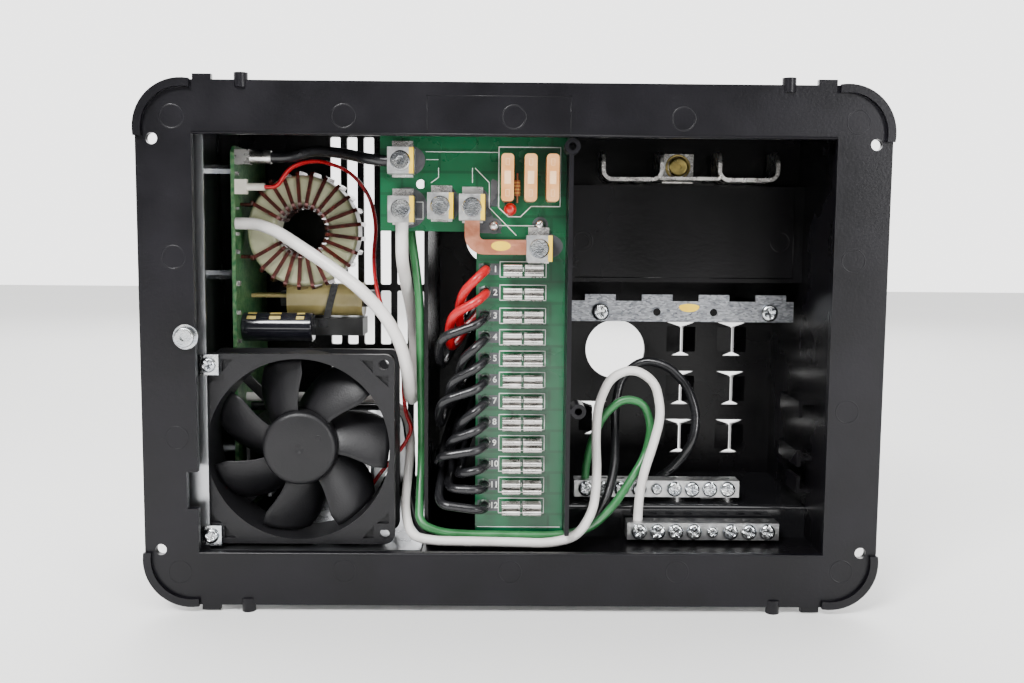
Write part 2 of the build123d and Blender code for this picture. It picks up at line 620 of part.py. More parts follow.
PCB_FRONT = 36.0
PCB_REAR = 96.0
PCB_LOW = -82.0
PCB_HIGH = 84.0
with BuildPart() as converter_pcb:
    with Locations((PCB_RIGHT - PCB_T / 2, (PCB_FRONT + PCB_REAR) / 2, (PCB_LOW + PCB_HIGH) / 2)):
        Box(PCB_T, PCB_REAR - PCB_FRONT, PCB_HIGH - PCB_LOW)
    across_corners = converter_pcb.edges().filter_by(Axis.X)
    chamfer(across_corners.sort_by(lambda e: e.center().Y - e.center().Z)[0], length=3)
converter_pcb.part.label = "converter_pcb"
pieces.append(converter_pcb.part)

standoff_x0 = CHASSIS_LEFT + CHASSIS_T
standoff_length = PCB_RIGHT - PCB_T - standoff_x0
with BuildPart() as pcb_standoffs:
    for y in (40.5, 91.5):
        for z in (-60.0, 28.0, 74.0):
            with BuildSketch(Plane(origin=(standoff_x0, y, z), x_dir=(0, 1, 0), z_dir=(1, 0, 0))):
                RegularPolygon(1.9, 6, major_radius=False)
            extrude(amount=standoff_length)
pcb_standoffs.part.label = "pcb_standoffs"
pieces.append(pcb_standoffs.part)

with BuildPart() as toroid_core:
    with BuildSketch(wall_plane(TOROID_FRONT)):
        with Locations((TOROID_X, TOROID_Z)):
            Circle(TOROID_R)
            Circle(TOROID_HOLE_R, mode=Mode.SUBTRACT)
    extrude(amount=-TOROID_T)
    fillet(toroid_core.edges().filter_by(GeomType.CIRCLE), radius=2.4)
toroid_core.part.label = "toroid_core"
pieces.append(toroid_core.part)

TURN_WIRE = 1.6
TURN_COUNT = 22
TURN_GAP_DEG = 44.0
turn_step = (360 - TURN_GAP_DEG) / TURN_COUNT
turn_angles = [180 + TURN_GAP_DEG / 2 + turn_step * (n + 0.5) for n in range(TURN_COUNT)]
with BuildPart() as toroid_winding:
    span = TOROID_R - TOROID_HOLE_R
    for angle in turn_angles:
        out = Vector(math.cos(math.radians(angle)), 0, math.sin(math.radians(angle)))
        hub = Vector(TOROID_X, TOROID_FRONT + TOROID_T / 2, TOROID_Z) + out * (TOROID_HOLE_R + span / 2)
        with BuildSketch(Plane(origin=hub, x_dir=out, z_dir=Vector(0, 1, 0).cross(out))):
            RectangleRounded(span + 2 * TURN_WIRE + 0.1, TOROID_T + 2 * TURN_WIRE + 0.1, 2.4)
            RectangleRounded(span + 0.1, TOROID_T + 0.1, 1.0, mode=Mode.SUBTRACT)
        extrude(amount=TURN_WIRE / 2, both=True)
    for y in (46.0, 55.0):
        for z in (36.0, 59.0):
            with Locations(((PCB_RIGHT - 115.4) / 2, y, z)):
                Cylinder(0.8, -115.4 - PCB_RIGHT, rotation=(0, 90, 0))
toroid_winding.part.label = "toroid_winding"
pieces.append(toroid_winding.part)

COIL_LEFT = -104.3
COIL_RIGHT = -69.5
COIL_Z = 16.3
COIL_Y = 69.6
with BuildPart() as transformer_coil:
    with Locations(((COIL_LEFT + COIL_RIGHT) / 2, COIL_Y, COIL_Z)):
        Box(COIL_RIGHT - COIL_LEFT, 16.6, 15.4)
    fillet(transformer_coil.edges().filter_by(Axis.X), radius=5.5)
    with Locations(((COIL_LEFT + COIL_RIGHT) / 2, COIL_Y, COIL_Z)):
        Box(40, 7.2, 7.2, mode=Mode.SUBTRACT)
    for y in (64.6, 69.6, 74.6):
        with Locations(((PCB_RIGHT + COIL_LEFT) / 2, y, COIL_Z + 1.5)):
            Cylinder(0.9, COIL_LEFT - PCB_RIGHT + 1, rotation=(0, 90, 0))
    with Locations((PCB_RIGHT - 1, COIL_Y, COIL_Z)):
        Box(2, 20, 16, mode=Mode.SUBTRACT)
transformer_coil.part.label = "transformer_coil"
pieces.append(transformer_coil.part)

with BuildPart() as transformer_core:
    with Locations(((COIL_LEFT + COIL_RIGHT) / 2, COIL_Y, COIL_Z)):
        Box(COIL_RIGHT - COIL_LEFT + 7.2, 7.0, 7.0)
    for x in (COIL_LEFT - 2.0, COIL_RIGHT + 2.0):
        with Locations((x, COIL_Y + 7.0, COIL_Z)):
            Box(3.4, 21, 7.0)
    with Locations(((COIL_LEFT + COIL_RIGHT) / 2, COIL_Y + 13.4, COIL_Z)):
        Box(COIL_RIGHT - COIL_LEFT + 7.4, 8.2, 7.0)
    for y in (64.6, 69.6, 74.6):
        with Locations((COIL_LEFT - 2.0, y, COIL_Z + 1.5)):
            Cylinder(1.0, 6, rotation=(0, 90, 0), mode=Mode.SUBTRACT)
transformer_core.part.label = "transformer_core"
pieces.append(transformer_core.part)

with BuildPart() as transformer_base:
    with Locations(((PCB_RIGHT - 69.0) / 2, 69.0, 3.8)):
        Box(-69.0 - PCB_RIGHT, 18, 8.0)
    with Locations((-96.5, 68.5, 1.8)):
        Box(49.2, 19.2, 5.6, mode=Mode.SUBTRACT)
    with Locations((-80.0, 69.0, 3.8)):
        Box(22, 18, 8.0)
transformer_base.part.label = "transformer_base"
pieces.append(transformer_base.part)

CAP_R = 6.6
CAP_LENGTH = 31.5
with BuildPart() as bulk_capacitor:
    with Locations((PCB_RIGHT + CAP_LENGTH / 2, 48.6, 4.5)):
        Cylinder(CAP_R, CAP_LENGTH, rotation=(0, 90, 0))
    fillet(bulk_capacitor.edges().filter_by(GeomType.CIRCLE), radius=0.8)
bulk_capacitor.part.label = "bulk_capacitor"
pieces.append(bulk_capacitor.part)

LUG_Y = 39.0
OUTPUT_Z = 79.2
with BuildPart() as output_lug:
    with Locations(((PCB_RIGHT - 114.5) / 2, LUG_Y, OUTPUT_Z)):
        Box(-114.5 - PCB_RIGHT, 5.0, 6.4)
    with Locations((-110.0, LUG_Y, OUTPUT_Z)):
        Cylinder(2.9, 9.0, rotation=(0, 90, 0))
output_lug.part.label = "output_lug"
pieces.append(output_lug.part)

with BuildPart() as fan_header:
    with Locations((PCB_RIGHT + 2.6, 37.6, 66.4)):
        Box(5.2, 3.2, 6.4)
    with Locations((PCB_RIGHT + 9.0, 37.6, 66.4)):
        Cylinder(1.6, 7.6, rotation=(0, 90, 0))
fan_header.part.label = "fan_header"
pieces.append(fan_header.part)

SINK_TOP = -38.5
SINK_T = 2.5
SINK_RIGHT = -52.0
with BuildPart() as heat_sink:
    with Locations(((-119.0 + SINK_RIGHT) / 2, 67.5, SINK_TOP - SINK_T / 2)):
        Box(SINK_RIGHT + 119.0, 57, SINK_T)
    fin_height = 30.0
    for n in range(8):
        with Locations((-117.5 + 9.2 * n, 67.5, SINK_TOP - SINK_T - fin_height / 2)):
            Box(1.6, 57, fin_height)
heat_sink.part.label = "heat_sink"
pieces.append(heat_sink.part)

with BuildPart() as power_transistors:
    for x in (-106.0, -90.0, -74.0):
        with Locations((x, 80.0, SINK_TOP + 2.25)):
            Box(10.2, 9.2, 4.5)
        with Locations((x, 87.5, SINK_TOP + 0.65)):
            Box(10.2, 6.4, 1.3)
power_transistors.part.label = "power_transistors"
pieces.append(power_transistors.part)

# ---------------------------------------------------------------- fan
FLANGE_T = 3.6
HUB_DISC_R = 17.0
POCKET = [(37.6, 26.5), (37.6, 31.2), (32.4, 31.2)]
SHAFT_R = 1.5
SHAFT_FIT = 0.05
fan_rear = FAN_FRONT + FAN_DEPTH
with BuildPart() as fan_frame:
    for y in (FAN_FRONT, fan_rear - FLANGE_T):
        with BuildSketch(wall_plane(y)):
            with Locations((FAN_X, FAN_Z)):
                RectangleRounded(FAN_SIZE, FAN_SIZE, 4)
                with GridLocations(FAN_HOLE_SPACING, FAN_HOLE_SPACING, 2, 2):
                    Circle(2.15, mode=Mode.SUBTRACT)
        extrude(amount=-FLANGE_T)
    with BuildSketch(wall_plane(FAN_FRONT)):
        with Locations((FAN_X, FAN_Z)):
            Circle(FAN_DUCT_R + 1.7)
    extrude(amount=-FAN_DEPTH)
    with BuildSketch(wall_plane(FAN_FRONT)):
        for side_x, side_z in CORNERS:
            for flip in (0, 1):
                corners = [(FAN_X + side_x * c[flip], FAN_Z + side_z * c[1 - flip]) for c in POCKET]
                Polygon(*corners, align=None)
    extrude(amount=-1.6, mode=Mode.SUBTRACT)
    with BuildSketch(wall_plane(FAN_FRONT)):
        with Locations((FAN_X, FAN_Z)):
            Circle(FAN_DUCT_R)
    extrude(amount=-FAN_DEPTH, mode=Mode.SUBTRACT)
    with BuildSketch(wall_plane(fan_rear - 2.0)):
        with Locations((FAN_X, FAN_Z)):
            Circle(HUB_DISC_R)
            for n in range(4):
                with Locations(Rotation(0, 0, 45 + 90 * n)):
                    with Locations((FAN_DUCT_R / 2 + 5, 0)):
                        Rectangle(FAN_DUCT_R, 4)
    extrude(amount=-2.0)
    with BuildSketch(wall_plane(fan_rear)):
        with Locations((FAN_X, FAN_Z)):
            Circle(4.8)
    extrude(amount=18)
    with Locations((FAN_X, FAN_FRONT + 11.5, FAN_Z)):
        Cylinder(3.2, 31, rotation=(90, 0, 0), mode=Mode.SUBTRACT)
    with Locations((FAN_X, fan_rear - 0.5, FAN_Z)):
        Cylinder(4.8, 1.0, rotation=(90, 0, 0))
fan_frame.part.label = "fan_frame"
pieces.append(fan_frame.part)

HUB_FRONT = 9.5
HUB_REAR = 28.0
HUB_WALL = 1.5
BLADE_T = 1.5
BLADE_MID_Y = 19.2


def blade_section(radius):
    """Plane and chord of a blade at a radius from the fan axis, for the blade that points along +X."""
    share = (radius - FAN_HUB_R) / (FAN_TIP_R - FAN_HUB_R)
    sweep_back = 2.0 - 9.0 * share
    pitch = math.radians(52.0 + 6.0 * share)
    chord = 19.0 + 4.0 * share
    chord_dir = (0, math.cos(pitch), math.sin(pitch))
    origin = (FAN_X + radius, BLADE_MID_Y, FAN_Z + sweep_back)
    return Plane(origin=origin, x_dir=chord_dir, z_dir=(1, 0, 0)), chord


with BuildPart() as one_blade:
    for radius in (FAN_HUB_R - 6.0, 26.0, FAN_TIP_R + 1.0):
        section_plane, chord = blade_section(radius)
        with BuildSketch(section_plane):
            Rectangle(chord, BLADE_T)
    loft()

with BuildPart() as fan_rotor:
    with BuildSketch(wall_plane(HUB_FRONT)):
        with Locations((FAN_X, FAN_Z)):
            Circle(FAN_HUB_R)
    extrude(amount=HUB_FRONT - HUB_REAR)
    fillet(fan_rotor.edges().group_by(Axis.Y)[0], radius=1.0)
    fan_axis = Axis((FAN_X, 0, FAN_Z), (0, 1, 0))
    for n in range(FAN_BLADES):
        add(one_blade.part.rotate(fan_axis, 360 / FAN_BLADES * n + 10))
    with Locations((FAN_X, BLADE_MID_Y, FAN_Z)):
        Cylinder(FAN_TIP_R, FAN_DEPTH + 5, rotation=(90, 0, 0), mode=Mode.INTERSECT)
    with BuildSketch(wall_plane(HUB_REAR)):
        with Locations((FAN_X, FAN_Z)):
            Circle(FAN_HUB_R - HUB_WALL)
    extrude(amount=HUB_REAR - HUB_FRONT - HUB_WALL, mode=Mode.SUBTRACT)
    with Locations((FAN_X, HUB_FRONT + HUB_WALL + 1.5, FAN_Z)):
        Cylinder(3.4, 3.0, rotation=(90, 0, 0))
    with Locations((FAN_X, HUB_FRONT + HUB_WALL + 2.0, FAN_Z)):
        Cylinder(SHAFT_R, 4.0, rotation=(90, 0, 0), mode=Mode.SUBTRACT)
fan_rotor.part.label = "fan_rotor"
pieces.append(fan_rotor.part)

with BuildPart() as fan_shaft:
    with Locations((FAN_X, 21.0, FAN_Z)):
        Cylinder(SHAFT_R, 20.0, rotation=(90, 0, 0))
fan_shaft.part.label = "fan_shaft"
pieces.append(fan_shaft.part)

with BuildPart() as rotor_magnet:
    with Locations((FAN_X, 19.5, FAN_Z)):
        Cylinder(FAN_HUB_R - HUB_WALL, 15.0, rotation=(90, 0, 0))
        Cylinder(12.9, 15.0, rotation=(90, 0, 0), mode=Mode.SUBTRACT)
rotor_magnet.part.label = "rotor_magnet"
pieces.append(rotor_magnet.part)

with BuildPart() as fan_bearing:
    with Locations((FAN_X, 23.4, FAN_Z)):
        Cylinder(3.2, 16.0, rotation=(90, 0, 0))
        Cylinder(SHAFT_R + SHAFT_FIT, 16.0, rotation=(90, 0, 0), mode=Mode.SUBTRACT)
fan_bearing.part.label = "fan_bearing"
pieces.append(fan_bearing.part)

with BuildPart() as fan_stator:
    with Locations((FAN_X, 21.0, FAN_Z)):
        Cylinder(8.0, 9.0, rotation=(90, 0, 0))
        for n in range(4):
            with Locations(Rotation(0, 90 * n, 0)):
                with Locations((8.6, 0, 0)):
                    Box(7.0, 9.0, 6.4)
        Cylinder(4.8, 12.0, rotation=(90, 0, 0), mode=Mode.SUBTRACT)
fan_stator.part.label = "fan_stator"
pieces.append(fan_stator.part)

with BuildPart() as fan_clips:
    for x, z in CLIP_CENTRES:
        with Locations((x, LIP_Y - 0.6, z)):
            Box(8.4, 1.2, 8.4)
        with Locations(((LIP_RIGHT + 0.1 + x + 4.2) / 2, (LIP_Y + FAN_FRONT) / 2, z)):
            Box(x + 4.2 - LIP_RIGHT - 0.1, FAN_FRONT - LIP_Y, 8.4)
        with Locations((x, LIP_Y + 1, z)):
            Cylinder(2.05, 8, rotation=(90, 0, 0), mode=Mode.SUBTRACT)
fan_clips.part.label = "fan_clips"
pieces.append(fan_clips.part)

with BuildPart() as fan_clip_screws:
    for x, z in CLIP_CENTRES:
        add_screw(x, z, LIP_Y - 1.2, 3.2, 1.8, 1.95, 7.0, 1.1)
fan_clip_screws.part.label = "fan_clip_screws"
pieces.append(fan_clip_screws.part)

# ---------------------------------------------------------------- leads
LEAD_D = 3.8
EXIT_Y = BOX_DEPTH + WALL
BRANCH_DROP = [22.0, 21.0, 20.0, 20.0, 20.0, 19.0, 17.0, 14.0, 9.5, 5.0, -1.0, -6.0]
exit_x, exit_z = WIRE_HOLES[1]
branch_routes = []
for row, z in enumerate(ROW_Z):
    drop = BRANCH_DROP[row]
    column = row % 3
    slot_x = exit_x + 5.4 * (1 - column)
    slot_z = exit_z + 8.0 - 5.4 * (row // 3)
    reach = -22.6 - 4.2 * column
    branch_routes.append([
        (-11.6, BOARD_Y, z),
        (-11.6, 9.4, z),
        (-15.0, 5.2, z - 0.14 * drop),
        (reach + 2.0, 6.4, z - 0.4 * drop),
        (reach, 12.0, z - 0.7 * drop),
        (reach, 22.0, z - 1.1 * drop),
        (reach + 1.2, 38.0, z + 0.15 * (slot_z - z) - 1.1 * drop),
        (slot_x - 3.0, 78.0, slot_z + 0.25 * (z - slot_z)),
        (slot_x, EXIT_Y, slot_z),
    ])
with BuildPart() as branch_leads_red:
    for row in (0, 1):
        add_lead(f"branch lead {row + 1}", branch_routes[row], LEAD_D)
branch_leads_red.part.label = "branch_leads_red"
pieces.append(branch_leads_red.part)

with BuildPart() as branch_leads_black:
    for row in range(2, len(ROW_Z)):
        add_lead(f"branch lead {row + 1}", branch_routes[row], LEAD_D)
branch_leads_black.part.label = "branch_leads_black"
pieces.append(branch_leads_black.part)

OUTPUT_BLACK = [(-105.5, 39, 79.2), (-98, 39, 79.2), (-86, 35, 82), (-72, 24, 80), (-61, 12, 77),
                (-53, 8.3, 75.8), (-46.2, 8.3, 75.7)]
with BuildPart() as output_cable_black:
    add_lead("output cable, black", OUTPUT_BLACK, 4.6)
output_cable_black.part.label = "output_cable_black"
pieces.append(output_cable_black.part)

OUTPUT_WHITE = [(-121, 37.5, 50.5), (-112, 37.5, 50.5), (-101, 29, 47), (-88, 21, 39.5), (-75, 16, 31.5),
                (-63, 12.5, 23), (-53, 11, 12.5), (-46.4, 11.5, 0), (-44.2, 15, -12), (-44.2, 24, -23),
                (-44.2, 39, -27), (-44.2, 51, -17), (-44.2, 50, -1), (-44.4, 38, 13), (-45.6, 24, 25),
                (-46.2, 11, 36), (-46, 8.55, 46), (-45.9, 8.55, 55.5)]
with BuildPart() as output_cable_white:
    add_lead("output cable, white", OUTPUT_WHITE, 5.2)
output_cable_white.part.label = "output_cable_white"
pieces.append(output_cable_white.part)

AC_WHITE = [(NEUTRAL_BAR["x0"] + 5.2, 26.4, -80), (55.6, 26.6, -70), (57.5, 27, -57), (62, 28.5, -44),
            (65.4, 30, -31), (62.6, 31, -17), (53, 31.5, -11), (43, 31.5, -15), (37.6, 31, -27),
            (36.6, 29, -42), (37, 23.5, -57), (34.6, 12.6, -70), (27.6, 7.6, -79.6), (16, 7.6, -82.6),
            (-2, 7.8, -82.2), (-20, 8, -82), (-33, 8.4, -82), (-42.5, 11.5, -81), (-46, 20, -72), (-45.6, 29, -60),
            (-44.6, 39, -45), (-48, 48, -33), (-60, 52, -28.5), (-82, 53, -27.5), (-103, 52.6, -27.8),
            (-121, 52.6, -27.8)]
with BuildPart() as ac_lead_white:
    add_lead("AC lead, white", AC_WHITE, 4.0)
ac_lead_white.part.label = "ac_lead_white"
pieces.append(ac_lead_white.part)

AC_GREEN = [(GROUND_BAR["x0"] + 5.2, 42.4, -65), (33.6, 42, -56), (36, 39.5, -44), (41, 36.6, -32),
            (49.5, 36, -25), (58.5, 36, -27), (62, 36, -37), (59.6, 34, -50), (52, 29.5, -61),
            (43.4, 20.4, -70.6), (33.5, 14.6, -78.2), (20, 12, -80.6), (2, 12, -80.4), (-16, 12, -80.3),
            (-30, 12.4, -79.6), (-39.4, 13.4, -76), (-39.6, 22, -64), (-39.4, 29, -50), (-39.4, 29, -34),
            (-39.4, 24, -17), (-39.4, 21, 0), (-39.6, 20.6, 18), (-41.4, 21, 34), (-43.6, 24.4, 47),
            (-43.8, 25, 61), (-43.8, BOARD_Y + BOARD_T, 61)]
with BuildPart() as ac_lead_green:
    add_lead("AC lead, green", AC_GREEN, 3.6)
ac_lead_green.part.label = "ac_lead_green"
pieces.append(ac_lead_green.part)

AC_BLACK = [(50, 50.2, -69.6), (57.5, 50.2, -69.4), (67, 49, -64.5), (76, 45.5, -56), (82, 43.5, -46), (84, 46, -34), (80, 49, -21),
            (71, 53, -12), (60, 56.5, -10), (50.6, 57.5, -18), (47.5, 54, -32), (47, 45, -45),
            (45.6, 33.5, -57), (41, 26, -70), (32.5, 19.6, -81.4), (19.5, 12.8, -84.4), (0, 12, -84.4),
            (-18, 12, -84.4), (-31, 13, -83.6), (-41, 20, -78.6), (-45, 31, -68), (-44.8, 43, -55),
            (-49, 54, -34), (-60, 60, -33), (-85, 61, -33.5), (-121, 61, -33.5)]
with BuildPart() as ac_lead_black:
    add_lead("AC lead, black", AC_BLACK, 4.0)
ac_lead_black.part.label = "ac_lead_black"
pieces.append(ac_lead_black.part)

FAN_LEAD_ROUTE = [(-108.2, 37.6, 66.4), (-103, 37.6, 66.4), (-97.5, 40, 75.6), (-87, 47, 79), (-74, 56, 75),
                  (-65.5, 62, 64), (-62.5, 61, 50), (-63.5, 56, 37), (-61.6, 48, 24), (-57, 40.5, 11),
                  (-50.4, 37, -1), (-48, 36, -14), (-47.9, 35.6, -25), (-46.8, 35.4, -33),
                  (-44, 35.4, -39), (-47.6, 35.2, -46.5), (-54, 35, -54), (-60, 35, -61.5),
                  (-64, 35, -68.5)]
with BuildPart() as fan_leads:
    for shift in (-0.86, 0.86):
        route = [(x, y + shift, z) for x, y, z in FAN_LEAD_ROUTE]
        add_lead("fan lead", route, 1.6)
fan_leads.part.label = "fan_leads"
pieces.append(fan_leads.part)

for piece in pieces:
    export_step(piece, f"parts/{piece.label}.step")
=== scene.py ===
"""Blender scene of the 12 V power centre: materials, small detail, camera, light and floor.

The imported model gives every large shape. This script gives each of its nodes a finish and adds what
is too small or too soft in outline for the CAD: board print, screw recesses, fan blades and marks.
Detail sizes below are in millimetres and are turned into metres where a mesh is made.
"""
import math

import bmesh
import bpy
from mathutils import Matrix, Vector


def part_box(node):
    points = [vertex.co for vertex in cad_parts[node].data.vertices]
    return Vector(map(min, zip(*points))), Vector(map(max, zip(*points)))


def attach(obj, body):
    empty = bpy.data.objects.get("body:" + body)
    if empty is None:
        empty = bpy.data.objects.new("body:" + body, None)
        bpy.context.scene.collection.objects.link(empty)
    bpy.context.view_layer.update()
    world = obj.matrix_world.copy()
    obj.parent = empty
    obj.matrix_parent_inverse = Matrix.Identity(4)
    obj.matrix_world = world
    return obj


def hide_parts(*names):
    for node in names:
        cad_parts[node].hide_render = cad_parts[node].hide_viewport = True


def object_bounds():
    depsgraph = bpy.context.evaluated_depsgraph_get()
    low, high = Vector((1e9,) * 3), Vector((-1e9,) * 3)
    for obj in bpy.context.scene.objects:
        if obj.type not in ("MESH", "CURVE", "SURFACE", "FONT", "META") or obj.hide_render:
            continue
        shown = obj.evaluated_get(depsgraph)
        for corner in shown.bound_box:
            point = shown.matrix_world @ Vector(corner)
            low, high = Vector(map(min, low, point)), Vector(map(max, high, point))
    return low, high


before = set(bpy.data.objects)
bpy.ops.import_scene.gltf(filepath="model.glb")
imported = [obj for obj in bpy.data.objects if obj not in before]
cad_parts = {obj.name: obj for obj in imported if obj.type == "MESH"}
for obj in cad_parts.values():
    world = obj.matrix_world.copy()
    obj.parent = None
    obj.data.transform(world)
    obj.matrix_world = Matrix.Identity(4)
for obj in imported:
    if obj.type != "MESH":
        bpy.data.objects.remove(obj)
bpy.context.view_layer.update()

MM = 0.001
HOUSING = "housing"

# Driving places and sizes, in millimetres: X to the right, Y away from the viewer, Z up.
FRAME_FACE_Y = -3.0
PLATFORM_FACE_Y = 49.0
PIN_MARKS = [(-135.5, 91.6), (-67.9, 92.3), (-0.6, 92.5), (66.6, 92.4), (136, 91.7), (-135.9, 36.3),
             (136, 37), (-135.9, -36.7), (135.8, -24.2), (-135.9, -92.4), (-68.8, -91.6), (-0.7, -91.7),
             (68.1, -91.3), (135.9, -90.9)]
LUGS = [(-46.0, 75.7), (-45.9, 56.3), (-30.0, 57.8), (-17.2, 57.3), (10.2, 40.9)]
LUG_HALF = 5.2
LINK_HOLES = ((-8.3, 50.0), (10.8, 50.6))
BAR_PITCH = 7.94
BAR_FIRST_SCREW = 5.2
BAR_BLANK_PLACE = 4
RAIL_SCREW_X = (39.2, 114.6)
RAIL_SCREW_Z = 12.8
HUB_R = 15.6
TIP_R = 37.1
BLADE_Y = 19.2
BLADE_COUNT = 7


def box_mm(node):
    """Lowest and highest corner of a CAD node, in millimetres."""
    low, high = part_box(node)
    return Vector(low) / MM, Vector(high) / MM


# ------------------------------------------------------------------ materials
def node_material(name, colour, second=None, roughness=0.4, spread=0.08, metallic=0.0, scale=60.0,
                  bump=0.0, bump_scale=400.0, coat=0.0, stretch=(1, 1, 1), transmission=0.0, shine=0.5):
    """A surface with two tones mixed by noise, uneven gloss and a fine bump."""
    material = bpy.data.materials.new(name)
    material.use_nodes = True
    tree = material.node_tree
    shader = tree.nodes["Principled BSDF"]
    shader.inputs["Metallic"].default_value = metallic
    shader.inputs["Coat Weight"].default_value = coat
    shader.inputs["Coat Roughness"].default_value = 0.12
    shader.inputs["Transmission Weight"].default_value = transmission
    shader.inputs["Specular IOR Level"].default_value = shine
    place = tree.nodes.new("ShaderNodeTexCoord")
    mapping = tree.nodes.new("ShaderNodeMapping")
    mapping.inputs["Scale"].default_value = stretch
    tree.links.new(place.outputs["Object"], mapping.inputs["Vector"])
    tone = tree.nodes.new("ShaderNodeTexNoise")
    tone.inputs["Scale"].default_value = scale
    tone.inputs["Detail"].default_value = 6.0
    tree.links.new(mapping.outputs["Vector"], tone.inputs["Vector"])
    ramp = tree.nodes.new("ShaderNodeValToRGB")
    ramp.color_ramp.elements[0].position = 0.35
    ramp.color_ramp.elements[1].position = 0.68
    ramp.color_ramp.elements[0].color = (*colour, 1)
    ramp.color_ramp.elements[1].color = (*(second or [c * 1.35 for c in colour]), 1)
    tree.links.new(tone.outputs["Fac"], ramp.inputs["Fac"])
    tree.links.new(ramp.outputs["Color"], shader.inputs["Base Color"])
    gloss = tree.nodes.new("ShaderNodeMapRange")
    gloss.inputs["To Min"].default_value = max(0.02, roughness - spread)
    gloss.inputs["To Max"].default_value = min(1.0, roughness + spread)
    tree.links.new(tone.outputs["Fac"], gloss.inputs["Value"])
    tree.links.new(gloss.outputs["Result"], shader.inputs["Roughness"])
    if bump:
        grain = tree.nodes.new("ShaderNodeTexNoise")
        grain.inputs["Scale"].default_value = bump_scale
        grain.inputs["Detail"].default_value = 4.0
        tree.links.new(mapping.outputs["Vector"], grain.inputs["Vector"])
        relief = tree.nodes.new("ShaderNodeBump")
        relief.inputs["Strength"].default_value = bump
        relief.inputs["Distance"].default_value = 0.0004
        tree.links.new(grain.outputs["Fac"], relief.inputs["Height"])
        tree.links.new(relief.outputs["Normal"], shader.inputs["Normal"])
    return material


def spangled_material(name, dark, light):
    """Hot-dipped zinc: angular flakes of different tone."""
    material = node_material(name, dark, light, roughness=0.38, spread=0.1, metallic=1.0, scale=90)
    tree = material.node_tree
    flakes = tree.nodes.new("ShaderNodeTexVoronoi")
    flakes.inputs["Scale"].default_value = 700.0
    place = tree.nodes.new("ShaderNodeTexCoord")
    mapping = tree.nodes.new("ShaderNodeMapping")
    mapping.inputs["Scale"].default_value = (1.0, 1.0, 2.4)
    mapping.inputs["Rotation"].default_value = (0, 0.6, 0)
    tree.links.new(place.outputs["Object"], mapping.inputs["Vector"])
    tree.links.new(mapping.outputs["Vector"], flakes.inputs["Vector"])
    ramp = tree.nodes.new("ShaderNodeValToRGB")
    ramp.color_ramp.elements[0].color = (*dark, 1)
    ramp.color_ramp.elements[1].color = (*light, 1)
    tree.links.new(flakes.outputs["Color"], ramp.inputs["Fac"])
    tree.links.new(ramp.outputs["Color"], tree.nodes["Principled BSDF"].inputs["Base Color"])
    return material


def board_material(name, mask, trace, rail_pitch):
    """Solder mask over copper: broad darker tracks show faintly through the green."""
    material = node_material(name, mask, trace, roughness=0.28, spread=0.05, scale=30, coat=0.3)
    tree = material.node_tree
    place = tree.nodes.new("ShaderNodeTexCoord")
    tracks = tree.nodes.new("ShaderNodeTexBrick")
    tracks.inputs["Scale"].default_value = 1.0
    tracks.inputs["Brick Width"].default_value = 0.031
    tracks.inputs["Row Height"].default_value = rail_pitch
    tracks.inputs["Mortar Size"].default_value = 0.0006
    tracks.inputs["Color1"].default_value = (*mask, 1)
    tracks.inputs["Color2"].default_value = (*[c * 0.86 for c in mask], 1)
    tracks.inputs["Mortar"].default_value = (*trace, 1)
    swap = tree.nodes.new("ShaderNodeMapping")
    swap.inputs["Rotation"].default_value = (math.radians(90), 0, 0)
    tree.links.new(place.outputs["Object"], swap.inputs["Vector"])
    tree.links.new(swap.outputs["Vector"], tracks.inputs["Vector"])
    tree.links.new(tracks.outputs["Color"], tree.nodes["Principled BSDF"].inputs["Base Color"])
    return material


BLACK = node_material("satin_black", (0.002, 0.0018, 0.003), (0.0045, 0.004, 0.0062), 0.34, 0.08, scale=40,
                      bump=0.14, bump_scale=900, shine=0.28)
INSIDE = node_material("inner_black", (0.0018, 0.0018, 0.002), (0.0045, 0.004, 0.005), 0.26, 0.08, scale=25,
                       bump=0.08, bump_scale=700, shine=0.24)
GLOSSY = node_material("glossy_black", (0.006, 0.006, 0.007), (0.011, 0.011, 0.012), 0.12, 0.05, scale=20,
                       bump=0.05, bump_scale=300, coat=0.3)
ZINC_SHEET = spangled_material("spangled_zinc", (0.09, 0.095, 0.11), (0.42, 0.43, 0.45))
BRIGHT = node_material("bright_zinc", (0.48, 0.51, 0.55), (0.74, 0.75, 0.74), 0.2, 0.09, 1.0, scale=260,
                       bump=0.15, bump_scale=1500)
TINNED = node_material("bright_tin", (0.56, 0.54, 0.52), (0.80, 0.78, 0.75), 0.27, 0.1, 1.0, scale=180,
                       bump=0.2, bump_scale=900)
ALLOY = node_material("lug_alloy", (0.42, 0.42, 0.43), (0.66, 0.66, 0.65), 0.34, 0.08, 1.0, scale=300,
                      bump=0.3, bump_scale=1600)
BRASS = node_material("worn_brass", (0.32, 0.25, 0.09), (0.60, 0.47, 0.16), 0.3, 0.1, 1.0, scale=220)
COPPER = node_material("bare_copper", (0.58, 0.22, 0.13), (0.80, 0.38, 0.25), 0.36, 0.1, 1.0, scale=170,
                       bump=0.25, bump_scale=1200)
ENAMEL = node_material("enamelled_wire", (0.040, 0.006, 0.004), (0.13, 0.020, 0.012), 0.18, 0.06, 0.5,
                       scale=300, coat=0.6)
PCB_GREEN = board_material("green_mask", (0.001, 0.098, 0.034), (0.001, 0.064, 0.022), 0.009)
PCB_EDGE = node_material("laminate_green", (0.004, 0.11, 0.030), (0.16, 0.28, 0.13), 0.35, 0.1, scale=500,
                         bump=0.3, bump_scale=2500)
FUSE_TAN = node_material("fuse_tan", (0.72, 0.30, 0.09), (0.82, 0.42, 0.17), 0.3, 0.06, scale=140,
                         transmission=0.15)
